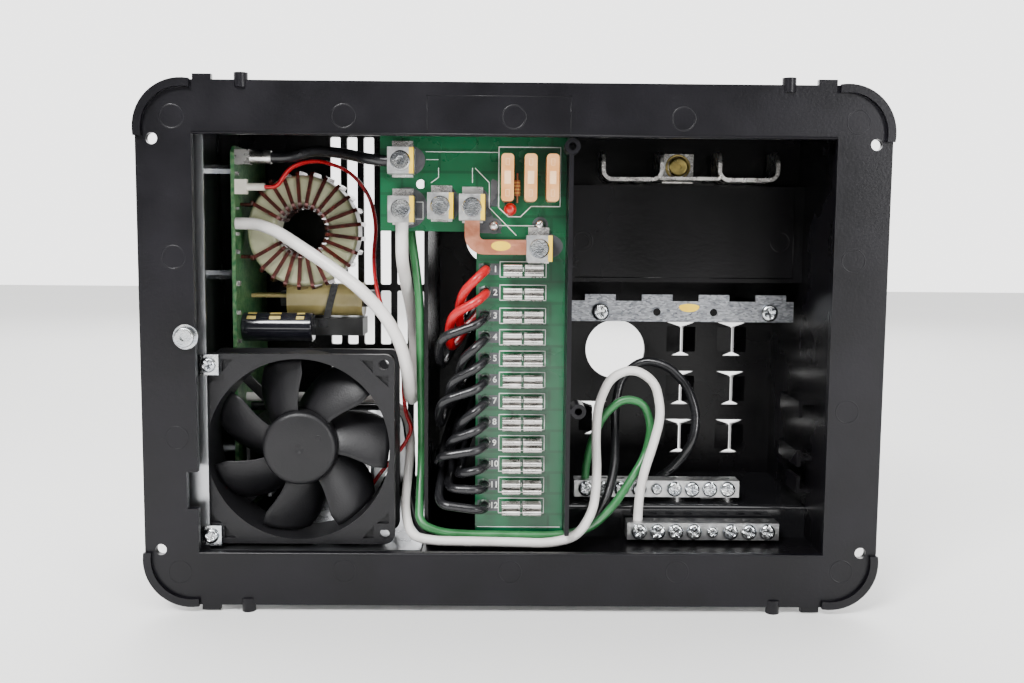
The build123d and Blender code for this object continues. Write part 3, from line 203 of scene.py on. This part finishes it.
FUSE_PRINT = node_material("fuse_print", (0.84, 0.50, 0.27), (0.92, 0.62, 0.36), 0.35, scale=200)
LED_RED = node_material("clear_red", (0.55, 0.002, 0.003), (0.70, 0.008, 0.008), 0.08, 0.03, scale=80,
                        coat=0.5, transmission=0.2)
RESISTOR = node_material("resistor_lacquer", (0.30, 0.11, 0.05), (0.42, 0.17, 0.08), 0.4, scale=300)
MATT_BLACK = node_material("fan_black", (0.006, 0.006, 0.007), (0.011, 0.0105, 0.012), 0.42, 0.08, scale=50,
                           bump=0.22, bump_scale=1400, shine=0.35)
FERRITE_DARK = node_material("dark_ferrite", (0.03, 0.03, 0.032), (0.06, 0.06, 0.06), 0.6, scale=300,
                             bump=0.3, bump_scale=1500)
CORE_GREEN = node_material("coated_core", (0.30, 0.31, 0.18), (0.42, 0.42, 0.27), 0.33, 0.08, scale=55,
                           bump=0.15, bump_scale=500, coat=0.2)
TAPE = node_material("yellow_tape", (0.48, 0.38, 0.12), (0.66, 0.55, 0.24), 0.22, 0.1, scale=70,
                     bump=0.3, bump_scale=160, coat=0.3)
SLEEVE = node_material("shrink_sleeve", (0.008, 0.008, 0.012), (0.02, 0.02, 0.026), 0.13, 0.04, scale=60,
                       coat=0.4)
GOLD_PRINT = node_material("gold_print", (0.55, 0.42, 0.10), (0.70, 0.56, 0.20), 0.35, scale=200)
NYLON = node_material("nylon_white", (0.72, 0.68, 0.58), (0.80, 0.77, 0.68), 0.45, scale=200, bump=0.1)
SINK = node_material("extruded_alloy", (0.36, 0.37, 0.38), (0.50, 0.51, 0.52), 0.38, 0.1, 1.0, scale=90,
                     stretch=(1, 0.1, 1))
EPOXY = node_material("moulded_epoxy", (0.012, 0.012, 0.012), (0.024, 0.024, 0.024), 0.4, scale=200, bump=0.2)
RED = node_material("red_insulation", (0.40, 0.003, 0.008), (0.52, 0.008, 0.014), 0.28, 0.07, scale=90,
                    bump=0.15, bump_scale=700)
BLACK_WIRE = node_material("black_insulation", (0.007, 0.007, 0.008), (0.016, 0.016, 0.018), 0.24, 0.08,
                           scale=90, bump=0.15, bump_scale=700)
WHITE = node_material("white_insulation", (0.70, 0.67, 0.64), (0.80, 0.78, 0.76), 0.36, 0.07, scale=70,
                      bump=0.12, bump_scale=600)
GREEN = node_material("green_insulation", (0.018, 0.11, 0.032), (0.045, 0.20, 0.07), 0.3, 0.07, scale=80,
                      bump=0.12, bump_scale=600)
SILK = node_material("board_print", (0.78, 0.80, 0.76), (0.90, 0.91, 0.88), 0.6, scale=400)
YELLOW = node_material("yellow_paint", (0.76, 0.47, 0.004), (0.86, 0.58, 0.02), 0.42, 0.1, scale=120,
                       bump=0.2)
DARK_PAD = node_material("dark_pad", (0.045, 0.05, 0.055), (0.10, 0.10, 0.11), 0.3, 0.12, scale=160, bump=0.3)
SOLDER = node_material("solder", (0.50, 0.49, 0.48), (0.80, 0.79, 0.77), 0.2, 0.12, 1.0, scale=500,
                       bump=0.6, bump_scale=900)
STEEL_SHEET = node_material("chassis_steel", (0.40, 0.41, 0.43), (0.60, 0.61, 0.63), 0.3, 0.1, 1.0, scale=40,
                            stretch=(1, 1, 0.12), bump=0.12, bump_scale=500)

FINISHES = {
    "front_frame": BLACK, "rear_box": INSIDE, "breaker_platform": INSIDE, "terminal_shelf": GLOSSY,
    "ac_dc_divider": BLACK, "channel_wall": INSIDE, "hot_bus": TINNED, "bus_screw": BRASS,
    "breaker_rail": ZINC_SHEET, "rail_screws": BRIGHT, "neutral_bar": ALLOY, "ground_bar": ALLOY,
    "bar_screws": BRIGHT, "fuse_board": PCB_GREEN, "wire_lugs": ALLOY, "lug_straps": TINNED,
    "copper_link": COPPER, "battery_fuse_clips": TINNED, "branch_fuse_clips": TINNED,
    "status_led": LED_RED, "led_resistor": RESISTOR, "converter_chassis": STEEL_SHEET,
    "ground_washer": BRIGHT, "ground_screw": BRIGHT, "converter_pcb": PCB_EDGE, "pcb_standoffs": BRIGHT,
    "toroid_core": CORE_GREEN, "toroid_winding": ENAMEL, "transformer_coil": TAPE,
    "transformer_core": FERRITE_DARK, "transformer_base": EPOXY, "bulk_capacitor": SLEEVE,
    "output_lug": TINNED, "fan_header": NYLON, "heat_sink": SINK, "power_transistors": EPOXY,
    "fan_frame": MATT_BLACK, "fan_shaft": BRIGHT, "rotor_magnet": FERRITE_DARK, "fan_bearing": BRASS,
    "fan_stator": ENAMEL, "fan_clips": BRIGHT, "fan_clip_screws": BRIGHT, "branch_leads_red": RED,
    "branch_leads_black": BLACK_WIRE, "output_cable_black": BLACK_WIRE, "output_cable_white": WHITE,
    "ac_lead_white": WHITE, "ac_lead_green": GREEN, "ac_lead_black": BLACK_WIRE, "fan_leads": RED,
    "fan_rotor": MATT_BLACK,
}
for number in (1, 2, 3):
    FINISHES[f"battery_fuse_{number}"] = FUSE_TAN
for number in (1, 2, 3, 4, 5):
    FINISHES[f"lug_screw_{number}"] = BRIGHT
for name, finish in FINISHES.items():
    node = bpy.data.objects[name]
    node.data.materials.clear()
    node.data.materials.append(finish)


# ------------------------------------------------------------------ mesh helpers
def finish_piece(name, mesh, finish, body=HOUSING, smooth=True):
    """Turn a bmesh in millimetres into an object that rides on a body."""
    bmesh.ops.scale(mesh, vec=(MM, MM, MM), verts=mesh.verts)
    bmesh.ops.recalc_face_normals(mesh, faces=mesh.faces)
    data = bpy.data.meshes.new(name)
    mesh.to_mesh(data)
    mesh.free()
    data.materials.append(finish)
    for polygon in data.polygons:
        polygon.use_smooth = smooth
    piece = bpy.data.objects.new(name, data)
    bpy.context.scene.collection.objects.link(piece)
    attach(piece, body)
    return piece


def add_prism(mesh, outline, front, rear):
    """A closed prism: an XZ outline carried from the front Y to the rear Y."""
    near = [mesh.verts.new((x, front, z)) for x, z in outline]
    far = [mesh.verts.new((x, rear, z)) for x, z in outline]
    mesh.faces.new(near)
    mesh.faces.new(far[::-1])
    for n in range(len(outline)):
        m = (n + 1) % len(outline)
        mesh.faces.new((near[n], far[n], far[m], near[m]))


def add_block(mesh, x0, x1, z0, z1, front, rear):
    """A box between two X, two Z and two Y values."""
    add_prism(mesh, [(x0, z0), (x1, z0), (x1, z1), (x0, z1)], front, rear)


def add_stroke(mesh, start, end, width, front, rear):
    """A straight printed line in XZ between two points."""
    a, b = Vector(start), Vector(end)
    along = (b - a).normalized() * width / 2
    side = Vector((-along.y, along.x))
    corners = [a - along - side, b + along - side, b + along + side, a - along + side]
    add_prism(mesh, [tuple(c) for c in corners], front, rear)


def add_outline(mesh, points, width, front, rear):
    """Printed lines round a closed path of XZ points."""
    for start, end in zip(points, points[1:] + points[:1]):
        add_stroke(mesh, start, end, width, front, rear)


def add_turned(mesh, x, z, profile, steps=48, squeeze=(1.0, 1.0)):
    """A body turned about the Y direction at (x, z) from (radius, y) points, open where radius isn't 0."""
    rings = []
    for radius, y in profile:
        if radius < 1e-6:
            rings.append([mesh.verts.new((x, y, z))])
            continue
        ring = []
        for n in range(steps):
            angle = 2 * math.pi * n / steps
            offset = (radius * squeeze[0] * math.cos(angle), radius * squeeze[1] * math.sin(angle))
            ring.append(mesh.verts.new((x + offset[0], y, z + offset[1])))
        rings.append(ring)
    for one, two in zip(rings, rings[1:]):
        for n in range(steps):
            m = (n + 1) % steps
            corners = [one[n % len(one)], one[m % len(one)], two[m % len(two)], two[n % len(two)]]
            unique = list(dict.fromkeys(corners))
            if len(unique) > 2:
                mesh.faces.new(unique)


def dome(radius, base, height, rings=6):
    """Profile of a shallow dome that stands from base towards the viewer."""
    turns = [math.pi / 2 * n / rings for n in range(rings + 1)]
    return [(radius * math.cos(t), base - height * math.sin(t)) for t in turns[:-1]] + [(0, base - height)]


def add_driven_head(mesh, x, front, z, radius, height, turn, slotted=False):
    """A pan head with a cross recess, and a slot across it if slotted, as one height field."""
    steps = 56
    rings = 18
    arm = 0.56 * radius
    half = 0.17 * radius
    depth = 0.55 * height
    grid = []
    for r in range(rings + 1):
        share = r / rings
        crown = height * (1 - share ** 5 * 0.55) if share < 1 else height * 0.35
        ring = []
        for n in range(steps):
            angle = 2 * math.pi * n / steps
            u = radius * share * math.cos(angle)
            v = radius * share * math.sin(angle)
            in_cross = (abs(u) < half and abs(v) < arm) or (abs(v) < half and abs(u) < arm)
            in_slot = slotted and abs(u) < half * 0.9
            sunk = depth * (1 - 0.45 * share) if (in_cross or in_slot) and share < 0.97 else 0.0
            ca, sa = math.cos(turn), math.sin(turn)
            level = front + height - crown + sunk
            ring.append(mesh.verts.new((x + u * ca - v * sa, level, z + u * sa + v * ca)))
        grid.append(ring)
    base = [mesh.verts.new((v.co.x, front + height, v.co.z)) for v in grid[-1]]
    grid.append(base)
    for one, two in zip(grid, grid[1:]):
        for n in range(steps):
            m = (n + 1) % steps
            mesh.faces.new((one[n], one[m], two[m], two[n]))
    mesh.faces.new(base)


# ------------------------------------------------------------------ front frame marks
def make_frame_marks():
    """Ejector-pin witness rings and the faint mould lines on the face of the frame."""
    face = FRAME_FACE_Y
    root = face + 0.02
    ring = [(4.25, root), (4.45, face - 0.09), (4.75, face - 0.09), (4.95, root)]
    mesh = bmesh.new()
    for x, z in PIN_MARKS:
        add_turned(mesh, x, z, ring)
    panel_left, panel_right = -34.9, 21.9
    panel_low, panel_high = 86.2, 100.6
    for x in (panel_left, panel_right):
        add_stroke(mesh, (x, panel_low), (x, panel_high), 0.35, face - 0.06, root)
    add_stroke(mesh, (panel_left, panel_high), (panel_right, panel_high), 0.35, face - 0.06, root)
    lip_half, lip_z = 127.5, 85.6
    add_stroke(mesh, (-lip_half, lip_z), (lip_half, lip_z), 0.8, face - 0.1, root)
    finish_piece("frame_pin_marks", mesh, BLACK)


# ------------------------------------------------------------------ fuse board print and pads
def row_heights():
    """Middle of each fuse row, counted down from the top of the highest clip."""
    top = box_mm("branch_fuse_clips")[1].z - 3.25
    pitch = 9.0
    return [top + 0.95, top - 8.75] + [top - 18.45 - pitch * n for n in range(10)]


ROWS = row_heights()


def make_board_print():
    """White lines: a frame round each row, round the battery fuses, and the short guide lines."""
    face = box_mm("fuse_board")[0].y
    ink = face - 0.06
    left, right, half = -5.7, 13.5, 3.2
    silk = bmesh.new()
    for z in ROWS:
        row_frame = [(left, z - half), (right, z - half), (right, z + half), (left, z + half)]
        add_outline(silk, row_frame, 0.32, ink, face)
        add_stroke(silk, (4.0, z - 0.7), (4.0, z + 0.7), 0.3, ink, face)
    fuse_frame = [(-6.5, 62.4), (-6.5, 82.4), (19.0, 82.4), (19.0, 58.2), (7.0, 58.2), (2.6, 53.9),
                  (-2.4, 53.9), (-6.5, 57.6)]
    add_outline(silk, fuse_frame, 0.36, ink, face)
    add_stroke(silk, (-36.6, 80.2), (-7.0, 80.2), 0.22, ink, face)
    add_stroke(silk, (-36.4, 77.0), (-31.6, 77.0), 0.22, ink, face)
    guide_paths = ([(-31.4, 73.6), (-31.4, 69.8), (-34.4, 67.6)], [(-17.4, 73.6), (-17.4, 67.8)],
                   [(-16.2, 73.6), (-10.4, 67.8), (-10.4, 57.6), (0.9, 46.2)], [(-7.4, 50.2), (8.2, 50.2)])
    for path in guide_paths:
        for start, end in zip(path, path[1:]):
            add_stroke(silk, start, end, 0.26, ink, face)
    add_outline(silk, [(-42.4, 52.6), (-37.8, 52.6), (-37.8, 59.6), (-42.4, 59.6)], 0.2, ink, face)
    add_stroke(silk, (-14.6, -77.6), (20.4, -77.6), 0.3, ink, face)
    finish_piece("board_print", silk, SILK, smooth=False)


def make_board_pads():
    """Dark bare pads: one beside each row, two broad ones, and a ring under each lug and link hole."""
    face = box_mm("fuse_board")[0].y
    pad_face = face - 0.03
    left, right, half = -14.6, -5.9, 2.4
    pads = bmesh.new()
    for z in ROWS:
        outline = [(left, z - half), (right, z - half), (right, z + half), (left, z + half)]
        add_prism(pads, outline, pad_face, face)
    add_prism(pads, [(-9.8, 58.0), (-6.9, 58.0), (-6.9, 68.4), (-9.0, 69.4), (-9.8, 68.4)], pad_face, face)
    add_prism(pads, [(-15.4, 47.0), (-5.2, 47.0), (-10.4, 57.0), (-15.4, 57.0)], pad_face, face)
    for x, z in LINK_HOLES:
        add_turned(pads, x, z, [(3.3, face), (3.3, face - 0.04), (0, face - 0.04)])
    lug_pad = [(1, face), (1, face - 0.045), (0, face - 0.045)]
    lug_pad_radii = ((7.5, 6.4), (8.4, 8.4), (6.0, 7.4), (6.0, 7.8), (8.6, 5.6))
    for (x, z), radii in zip(LUGS, lug_pad_radii):
        add_turned(pads, x + 1.6, z + 0.9, lug_pad, squeeze=radii)
    finish_piece("board_dark_pads", pads, DARK_PAD, smooth=False)


def make_board_joints():
    """Solder joints of the row leads, the copper link and the fuse clips."""
    face = box_mm("fuse_board")[0].y
    lead_joint = [(2.6, face), (2.5, face - 0.5), (2.1, face - 1.2), (1.95, face - 1.6)]
    joints = bmesh.new()
    for z in ROWS:
        add_turned(joints, -11.6, z + 0.3, lead_joint, 28)
    for x, z in LINK_HOLES:
        add_turned(joints, x, z, [(2.3, face)] + dome(2.2, face - 0.3, 1.5), 32)
    clip_leg_x = (-2.0, 1.4, 8.4, 11.4)
    for x in clip_leg_x:
        for z in ROWS:
            add_turned(joints, x, z - 2.5, [(1.25, face)] + dome(1.2, face - 0.2, 0.9, 4), 20)
    finish_piece("board_solder_joints", joints, SOLDER)


def make_row_digits():
    """A number from 1 to 12 beside each row of fuse clips."""
    digit_x = -7.6
    digit_y = box_mm("fuse_board")[0].y - 0.05
    upright = Matrix.Rotation(math.radians(90), 4, "X")
    for number, z in enumerate(ROWS, start=1):
        text = bpy.data.curves.new(f"row_digit_{number}", "FONT")
        text.body = str(number)
        text.size = 3.6 * MM
        text.align_x = "CENTER"
        text.align_y = "CENTER"
        text.extrude = 0.02 * MM
        text.offset = 0.07 * MM
        text.materials.append(SILK)
        digit = bpy.data.objects.new(f"row_digit_{number}", text)
        digit.matrix_world = Matrix.Translation(Vector((digit_x, digit_y, z)) * MM) @ upright
        bpy.context.scene.collection.objects.link(digit)
        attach(digit, HOUSING)


def make_lug_paint():
    """The yellow stripe down the right of each wire lug, and the marks on the copper link and the rail."""
    mesh = bmesh.new()
    front = box_mm("wire_lugs")[0].y
    for x, z in LUGS:
        side = x + LUG_HALF
        low, high = z - LUG_HALF, z + LUG_HALF
        add_block(mesh, side - 1.7, side + 0.04, low, high, front - 0.05, front + 0.1)
        add_block(mesh, side - 0.1, side + 0.05, low, high, front, front + 3.0)
    link_front = box_mm("copper_link")[0].y
    patch = [(1, link_front + 0.1), (1, link_front - 0.04), (0, link_front - 0.04)]
    add_turned(mesh, -5.4, 41.8, patch, 32, (4.0, 2.0))
    rail_front = box_mm("breaker_rail")[0].y
    bean_x, bean_z = 78.8, 15.3
    bean_points = 28
    bean = [(4.6 * math.cos(t) + bean_x, 2.4 * math.sin(t) * (1.0 if math.sin(t) < 0 else 0.55) + bean_z)
            for t in [2 * math.pi * n / bean_points for n in range(bean_points)]]
    add_prism(mesh, bean, rail_front - 0.04, rail_front + 0.05)
    finish_piece("yellow_marks", mesh, YELLOW, smooth=False)


# ------------------------------------------------------------------ screws
def make_driven_screws():
    """Recessed heads over the plain CAD heads of the bar, rail and fan clip screws."""
    bars = bmesh.new()
    for bar in ("neutral_bar", "ground_bar"):
        low, high = box_mm(bar)
        z = (low.z + high.z) / 2
        for n in range(int((high.x - low.x) / BAR_PITCH)):
            x = low.x + BAR_FIRST_SCREW + BAR_PITCH * n
            radius = 2.5 if n == BAR_BLANK_PLACE else 3.45
            add_driven_head(bars, x, low.y - 2.0, z, radius, 2.0, 0.5 + 1.7 * n, slotted=True)
    finish_piece("bar_screw_heads", bars, BRIGHT)
    rail = bmesh.new()
    rail_head_front = box_mm("rail_screws")[0].y
    for x in RAIL_SCREW_X:
        add_driven_head(rail, x, rail_head_front, RAIL_SCREW_Z, 4.0, 2.6, 0.4 + x)
    finish_piece("rail_screw_heads", rail, BRIGHT)
    clips = bmesh.new()
    low, high = box_mm("fan_clip_screws")
    radius = 3.2
    for z in (low.z + radius, high.z - radius):
        add_driven_head(clips, (low.x + high.x) / 2, low.y, z, radius, 1.8, 0.3 + z)
    finish_piece("clip_screw_heads", clips, BRIGHT)
    for piece, cad in (("bar_screw_heads", "bar_screws"), ("rail_screw_heads", "rail_screws"),
                       ("clip_screw_heads", "fan_clip_screws")):
        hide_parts(cad)


# ------------------------------------------------------------------ fan
fan_low, fan_high = box_mm("fan_frame")
FAN_X = (fan_low.x + fan_high.x) / 2
FAN_Z = (fan_low.z + fan_high.z) / 2


def blade_point(radius, chord_share, lift):
    """A point of the blade that points along +X: chord_share runs from -1 (front edge) to 1 (rear edge)."""
    span = (radius - HUB_R) / (TIP_R - HUB_R)
    pitch = math.radians(52.0 + 6.0 * span)
    chord = 21.5 + 6.5 * span
    rounding = 1.0 - 0.22 * max(0.0, span - 0.72) / 0.28
    along = chord_share * chord / 2 * rounding
    camber = 2.0 * (1 - chord_share ** 2) + lift
    axial = BLADE_Y + along * math.cos(pitch) - camber * math.sin(pitch)
    across = 3.0 - 9.0 * max(0.0, span) ** 1.4 + along * math.sin(pitch) + camber * math.cos(pitch)
    angle = across / radius
    return Vector((FAN_X + radius * math.cos(angle), axial, FAN_Z + radius * math.sin(angle)))


def add_blade(mesh, turn):
    """One cambered blade with a closed edge, turned about the fan axis."""
    axis_point = Vector((FAN_X, 0, FAN_Z))
    spin = Matrix.Rotation(turn, 3, "Y")
    stations = 12
    chords = 14
    skins = []
    for lift in (-0.6, 0.6):
        skin = []
        for r in range(stations + 1):
            radius = HUB_R - 0.8 + (TIP_R - HUB_R + 0.8) * r / stations
            row = []
            for c in range(chords + 1):
                share = -1 + 2 * c / chords
                taper = lift * (1 - 0.75 * abs(share) ** 3)
                point = spin @ (blade_point(radius, share, taper) - axis_point) + axis_point
                row.append(mesh.verts.new(point))
            skin.append(row)
        skins.append(skin)
    for skin in skins:
        for one, two in zip(skin, skin[1:]):
            for c in range(chords):
                mesh.faces.new((one[c], one[c + 1], two[c + 1], two[c]))
    front, rear = skins
    for r in range(stations):
        for c in (0, chords):
            mesh.faces.new((front[r][c], front[r + 1][c], rear[r + 1][c], rear[r][c]))
    for c in range(chords):
        for r in (0, stations):
            mesh.faces.new((front[r][c], front[r][c + 1], rear[r][c + 1], rear[r][c]))


def make_fan_rotor():
    """Seven broad swept blades on a round hub with a dimple and a small moulded mark."""
    mesh = bmesh.new()
    front = box_mm("fan_rotor")[0].y
    hub = [(0, front + 0.5), (1.2, front + 0.45), (1.8, front + 0.1), (2.6, front), (13.2, front),
           (14.6, front + 0.35), (15.3, front + 1.1), (HUB_R, front + 2.3), (HUB_R, front + 18.4),
           (HUB_R - 1.4, front + 18.4), (HUB_R - 1.4, front + 2.0)]
    add_turned(mesh, FAN_X, FAN_Z, hub, 72)
    for n in range(BLADE_COUNT):
        add_blade(mesh, -math.radians(10 + 360 / BLADE_COUNT * n))
    mark = [(1.5, front + 0.05), (1.35, front - 0.12), (1.1, front - 0.12), (1.0, front + 0.05)]
    add_turned(mesh, FAN_X + 8.2, FAN_Z + 4.5, mark, 24)
    rotor = finish_piece("fan_impeller", mesh, MATT_BLACK, body="fan")
    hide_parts("fan_rotor")


# ------------------------------------------------------------------ converter details
def make_capacitor_print():
    """Two curved rows of gold patches on the sleeve, in place of its printed text."""
    low, high = box_mm("bulk_capacitor")
    middle_y = (low.y + high.y) / 2
    middle_z = (low.z + high.z) / 2
    print_radius = (high.z - low.z) / 2 + 0.04
    row_starts = (100, 128)
    row_turn = 16
    band = bmesh.new()
    steps = 10
    for x0, x1 in ((low.x + 2.5, low.x + 6.5), (low.x + 12.5, low.x + 17.5), (low.x + 24.5, low.x + 28.0)):
        for start in row_starts:
            rows = []
            for n in range(steps + 1):
                angle = math.radians(start + row_turn * n / steps)
                y = middle_y + print_radius * math.cos(angle)
                z = middle_z + print_radius * math.sin(angle)
                rows.append((band.verts.new((x0, y, z)), band.verts.new((x1, y, z))))
            for (a, b), (c, d) in zip(rows, rows[1:]):
                band.faces.new((a, b, d, c))
    finish_piece("capacitor_print", band, GOLD_PRINT)


def make_transformer_strap():
    """The dark strap that crosses the tape in front, with the knot at its lower end."""
    y = box_mm("transformer_coil")[0].y - 0.4
    strap = bmesh.new()
    add_prism(strap, [(-88.0, 5.4), (-84.8, 5.4), (-80.2, 23.6), (-83.4, 23.6)], y - 0.5, y + 1.6)
    add_block(strap, -89.5, -85.0, 3.6, 7.4, y - 1.2, y + 2.4)
    finish_piece("transformer_strap", strap, BLACK_WIRE, smooth=False)


def make_surface_parts():
    """Small tinned parts along the front edge of the converter board."""
    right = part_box("converter_pcb")[1][0] / MM
    front = 37.2
    parts = bmesh.new()
    places = ((72.0, 1.6), (46.0, 1.4), (38.2, 1.8), (24.4, 2.2), (11.6, 1.8), (-1.0, 1.5), (57.0, 1.2))
    for z, size in places:
        add_block(parts, right, right + 1.5, z - size / 2, z + size / 2, front, front + size)
    finish_piece("surface_parts", parts, TINNED, smooth=False)


# ------------------------------------------------------------------ AC bay details
def make_platform_marks():
    """Ejector rings and shallow ribs on the breaker platform."""
    face = PLATFORM_FACE_Y
    root = face + 0.05
    ring = [(4.0, root), (4.15, face - 0.1), (4.4, face - 0.1), (4.55, root)]
    mesh = bmesh.new()
    for x, z in ((31.4, 44.1), (120.0, 44.4)):
        add_turned(mesh, x, z, ring, 40)
    add_stroke(mesh, (28.0, 28.0), (126.0, 28.0), 0.4, face - 0.12, root)
    add_stroke(mesh, (126.0, 28.0), (126.0, 66.0), 0.4, face - 0.12, root)
    finish_piece("platform_marks", mesh, INSIDE)


def make_bus_screw_ring():
    """The raised ring of the washer round the bus screw."""
    low, high = box_mm("bus_screw")
    crest = low.y + 2.0
    root = low.y + 2.7
    ring = bmesh.new()
    profile = [(4.6, root), (4.9, crest), (5.5, crest), (5.8, root)]
    add_turned(ring, (low.x + high.x) / 2, (low.z + high.z) / 2, profile, 40)
    finish_piece("bus_screw_ring", ring, BRASS)


# ------------------------------------------------------------------ fuse faces
def make_fuse_faces():
    """Raised rating panel and end windows on each battery fuse."""
    for number in (1, 2, 3):
        low, high = box_mm(f"battery_fuse_{number}")
        x = (low.x + high.x) / 2
        z = (low.z + high.z) / 2
        face = low.y
        mesh = bmesh.new()
        add_block(mesh, x - 1.3, x + 1.3, z - 2.6, z + 2.6, face - 0.12, face + 0.05)
        for window in (z - 6.2, z + 6.2):
            low_edge, high_edge = window - 1.3, window + 1.3
            corners = [(x - 0.7, low_edge), (x + 0.7, low_edge), (x + 0.7, high_edge), (x - 0.7, high_edge)]
            add_outline(mesh, corners, 0.3, face - 0.1, face + 0.05)
        body = f"battery_fuse_{number}_body"
        finish_piece(f"fuse_face_{number}", mesh, FUSE_PRINT, body=body, smooth=False)


def make_resistor_bands():
    """Four thin gold bands round the upright resistor."""
    low, high = box_mm("led_resistor")
    x = (low.x + high.x) / 2
    y = low.y + 1.15
    radius = 1.19
    half = 0.3
    steps = 24
    turns = [2 * math.pi * n / steps for n in range(steps)]
    mesh = bmesh.new()
    for z in (63.6, 65.0, 66.4, 67.8):
        lower, upper = [[mesh.verts.new((x + radius * math.cos(t), y + radius * math.sin(t), height))
                         for t in turns] for height in (z - half, z + half)]
        for n in range(steps):
            m = (n + 1) % steps
            mesh.faces.new((lower[n], lower[m], upper[m], upper[n]))
    finish_piece("resistor_bands", mesh, GOLD_PRINT)


# ------------------------------------------------------------------ camera, light, floor
def make_camera():
    """The camera stands a little above the middle of the panel and looks slightly down."""
    yaw = math.radians(0.58)
    pitch = math.radians(5.44)
    roll = math.radians(0.48)
    place = (-0.00489, -0.42096, 0.04338)
    ahead = Vector((math.sin(yaw) * math.cos(pitch), math.cos(yaw) * math.cos(pitch), -math.sin(pitch)))
    level = Vector((math.cos(yaw), -math.sin(yaw), 0))
    above = level.cross(ahead)
    right = math.cos(roll) * level + math.sin(roll) * above
    up = -math.sin(roll) * level + math.cos(roll) * above
    lens = bpy.data.cameras.new("camera")
    lens.lens = 36.67
    lens.sensor_width = 36.0
    camera = bpy.data.objects.new("camera", lens)
    spin = Matrix((right, up, -ahead)).transposed().to_4x4()
    camera.matrix_world = Matrix.Translation(place) @ spin
    bpy.context.scene.collection.objects.link(camera)
    bpy.context.scene.camera = camera


def add_area_light(name, place, target, size, power):
    light = bpy.data.lights.new(name, "AREA")
    light.shape = "RECTANGLE"
    light.size, light.size_y = size
    light.energy = power
    lamp = bpy.data.objects.new(name, light)
    lamp.location = place
    lamp.rotation_euler = (Vector(target) - Vector(place)).to_track_quat("-Z", "Y").to_euler()
    bpy.context.scene.collection.objects.link(lamp)


def make_floor():
    """A wide pale floor just under the object."""
    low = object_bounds()[0]
    floor_mesh = bmesh.new()
    side = 3000.0
    floor_z = low[2] / MM
    corners = ((-side, -side), (side, -side), (side, side), (-side, side))
    floor_mesh.faces.new([floor_mesh.verts.new((x, y, floor_z)) for x, y in corners])
    bmesh.ops.scale(floor_mesh, vec=(MM, MM, MM), verts=floor_mesh.verts)
    data = bpy.data.meshes.new("floor")
    floor_mesh.to_mesh(data)
    floor_mesh.free()
    pale = node_material("pale_floor", (0.86, 0.86, 0.85), (0.88, 0.88, 0.87), 0.6, 0.04, scale=3)
    data.materials.append(pale)
    floor = bpy.data.objects.new("floor", data)
    bpy.context.scene.collection.objects.link(floor)


def make_world():
    """White surroundings that are bright behind the object and dim behind the camera."""
    world = bpy.data.worlds.new("studio")
    world.use_nodes = True
    tree = world.node_tree
    background = tree.nodes["Background"]
    background.inputs["Color"].default_value = (1.0, 0.995, 0.99, 1)
    bpy.context.scene.world = world
    place = tree.nodes.new("ShaderNodeTexCoord")
    parts = tree.nodes.new("ShaderNodeSeparateXYZ")
    glow = tree.nodes.new("ShaderNodeMapRange")
    glow.inputs["From Min"].default_value = -0.35
    glow.inputs["From Max"].default_value = 0.55
    glow.inputs["To Min"].default_value = 0.12
    glow.inputs["To Max"].default_value = 3.2
    tree.links.new(place.outputs["Generated"], parts.inputs["Vector"])
    tree.links.new(parts.outputs["Y"], glow.inputs["Value"])
    tree.links.new(glow.outputs["Result"], background.inputs["Strength"])


def make_lights():
    """Two front lights, one behind the object, and one over the floor."""
    add_area_light("key", (-0.50, -0.9, 0.90), (0, 0.03, 0), (0.45, 0.30), 24)
    add_area_light("fill", (0.80, -0.95, 0.25), (0, 0.03, 0), (0.30, 0.45), 8)
    add_area_light("rear", (0.0, 1.3, 0.7), (0, 0.1, 0), (1.2, 0.8), 14)
    add_area_light("floor_glow", (0.0, -0.9, 1.6), (0, 0.4, -0.1), (2.0, 1.2), 30)


make_frame_marks()
make_board_print()
make_board_pads()
make_board_joints()
make_row_digits()
make_lug_paint()
make_driven_screws()
make_fan_rotor()
make_capacitor_print()
make_transformer_strap()
make_surface_parts()
make_platform_marks()
make_bus_screw_ring()
make_fuse_faces()
make_resistor_bands()
make_camera()
make_floor()
make_world()
make_lights()
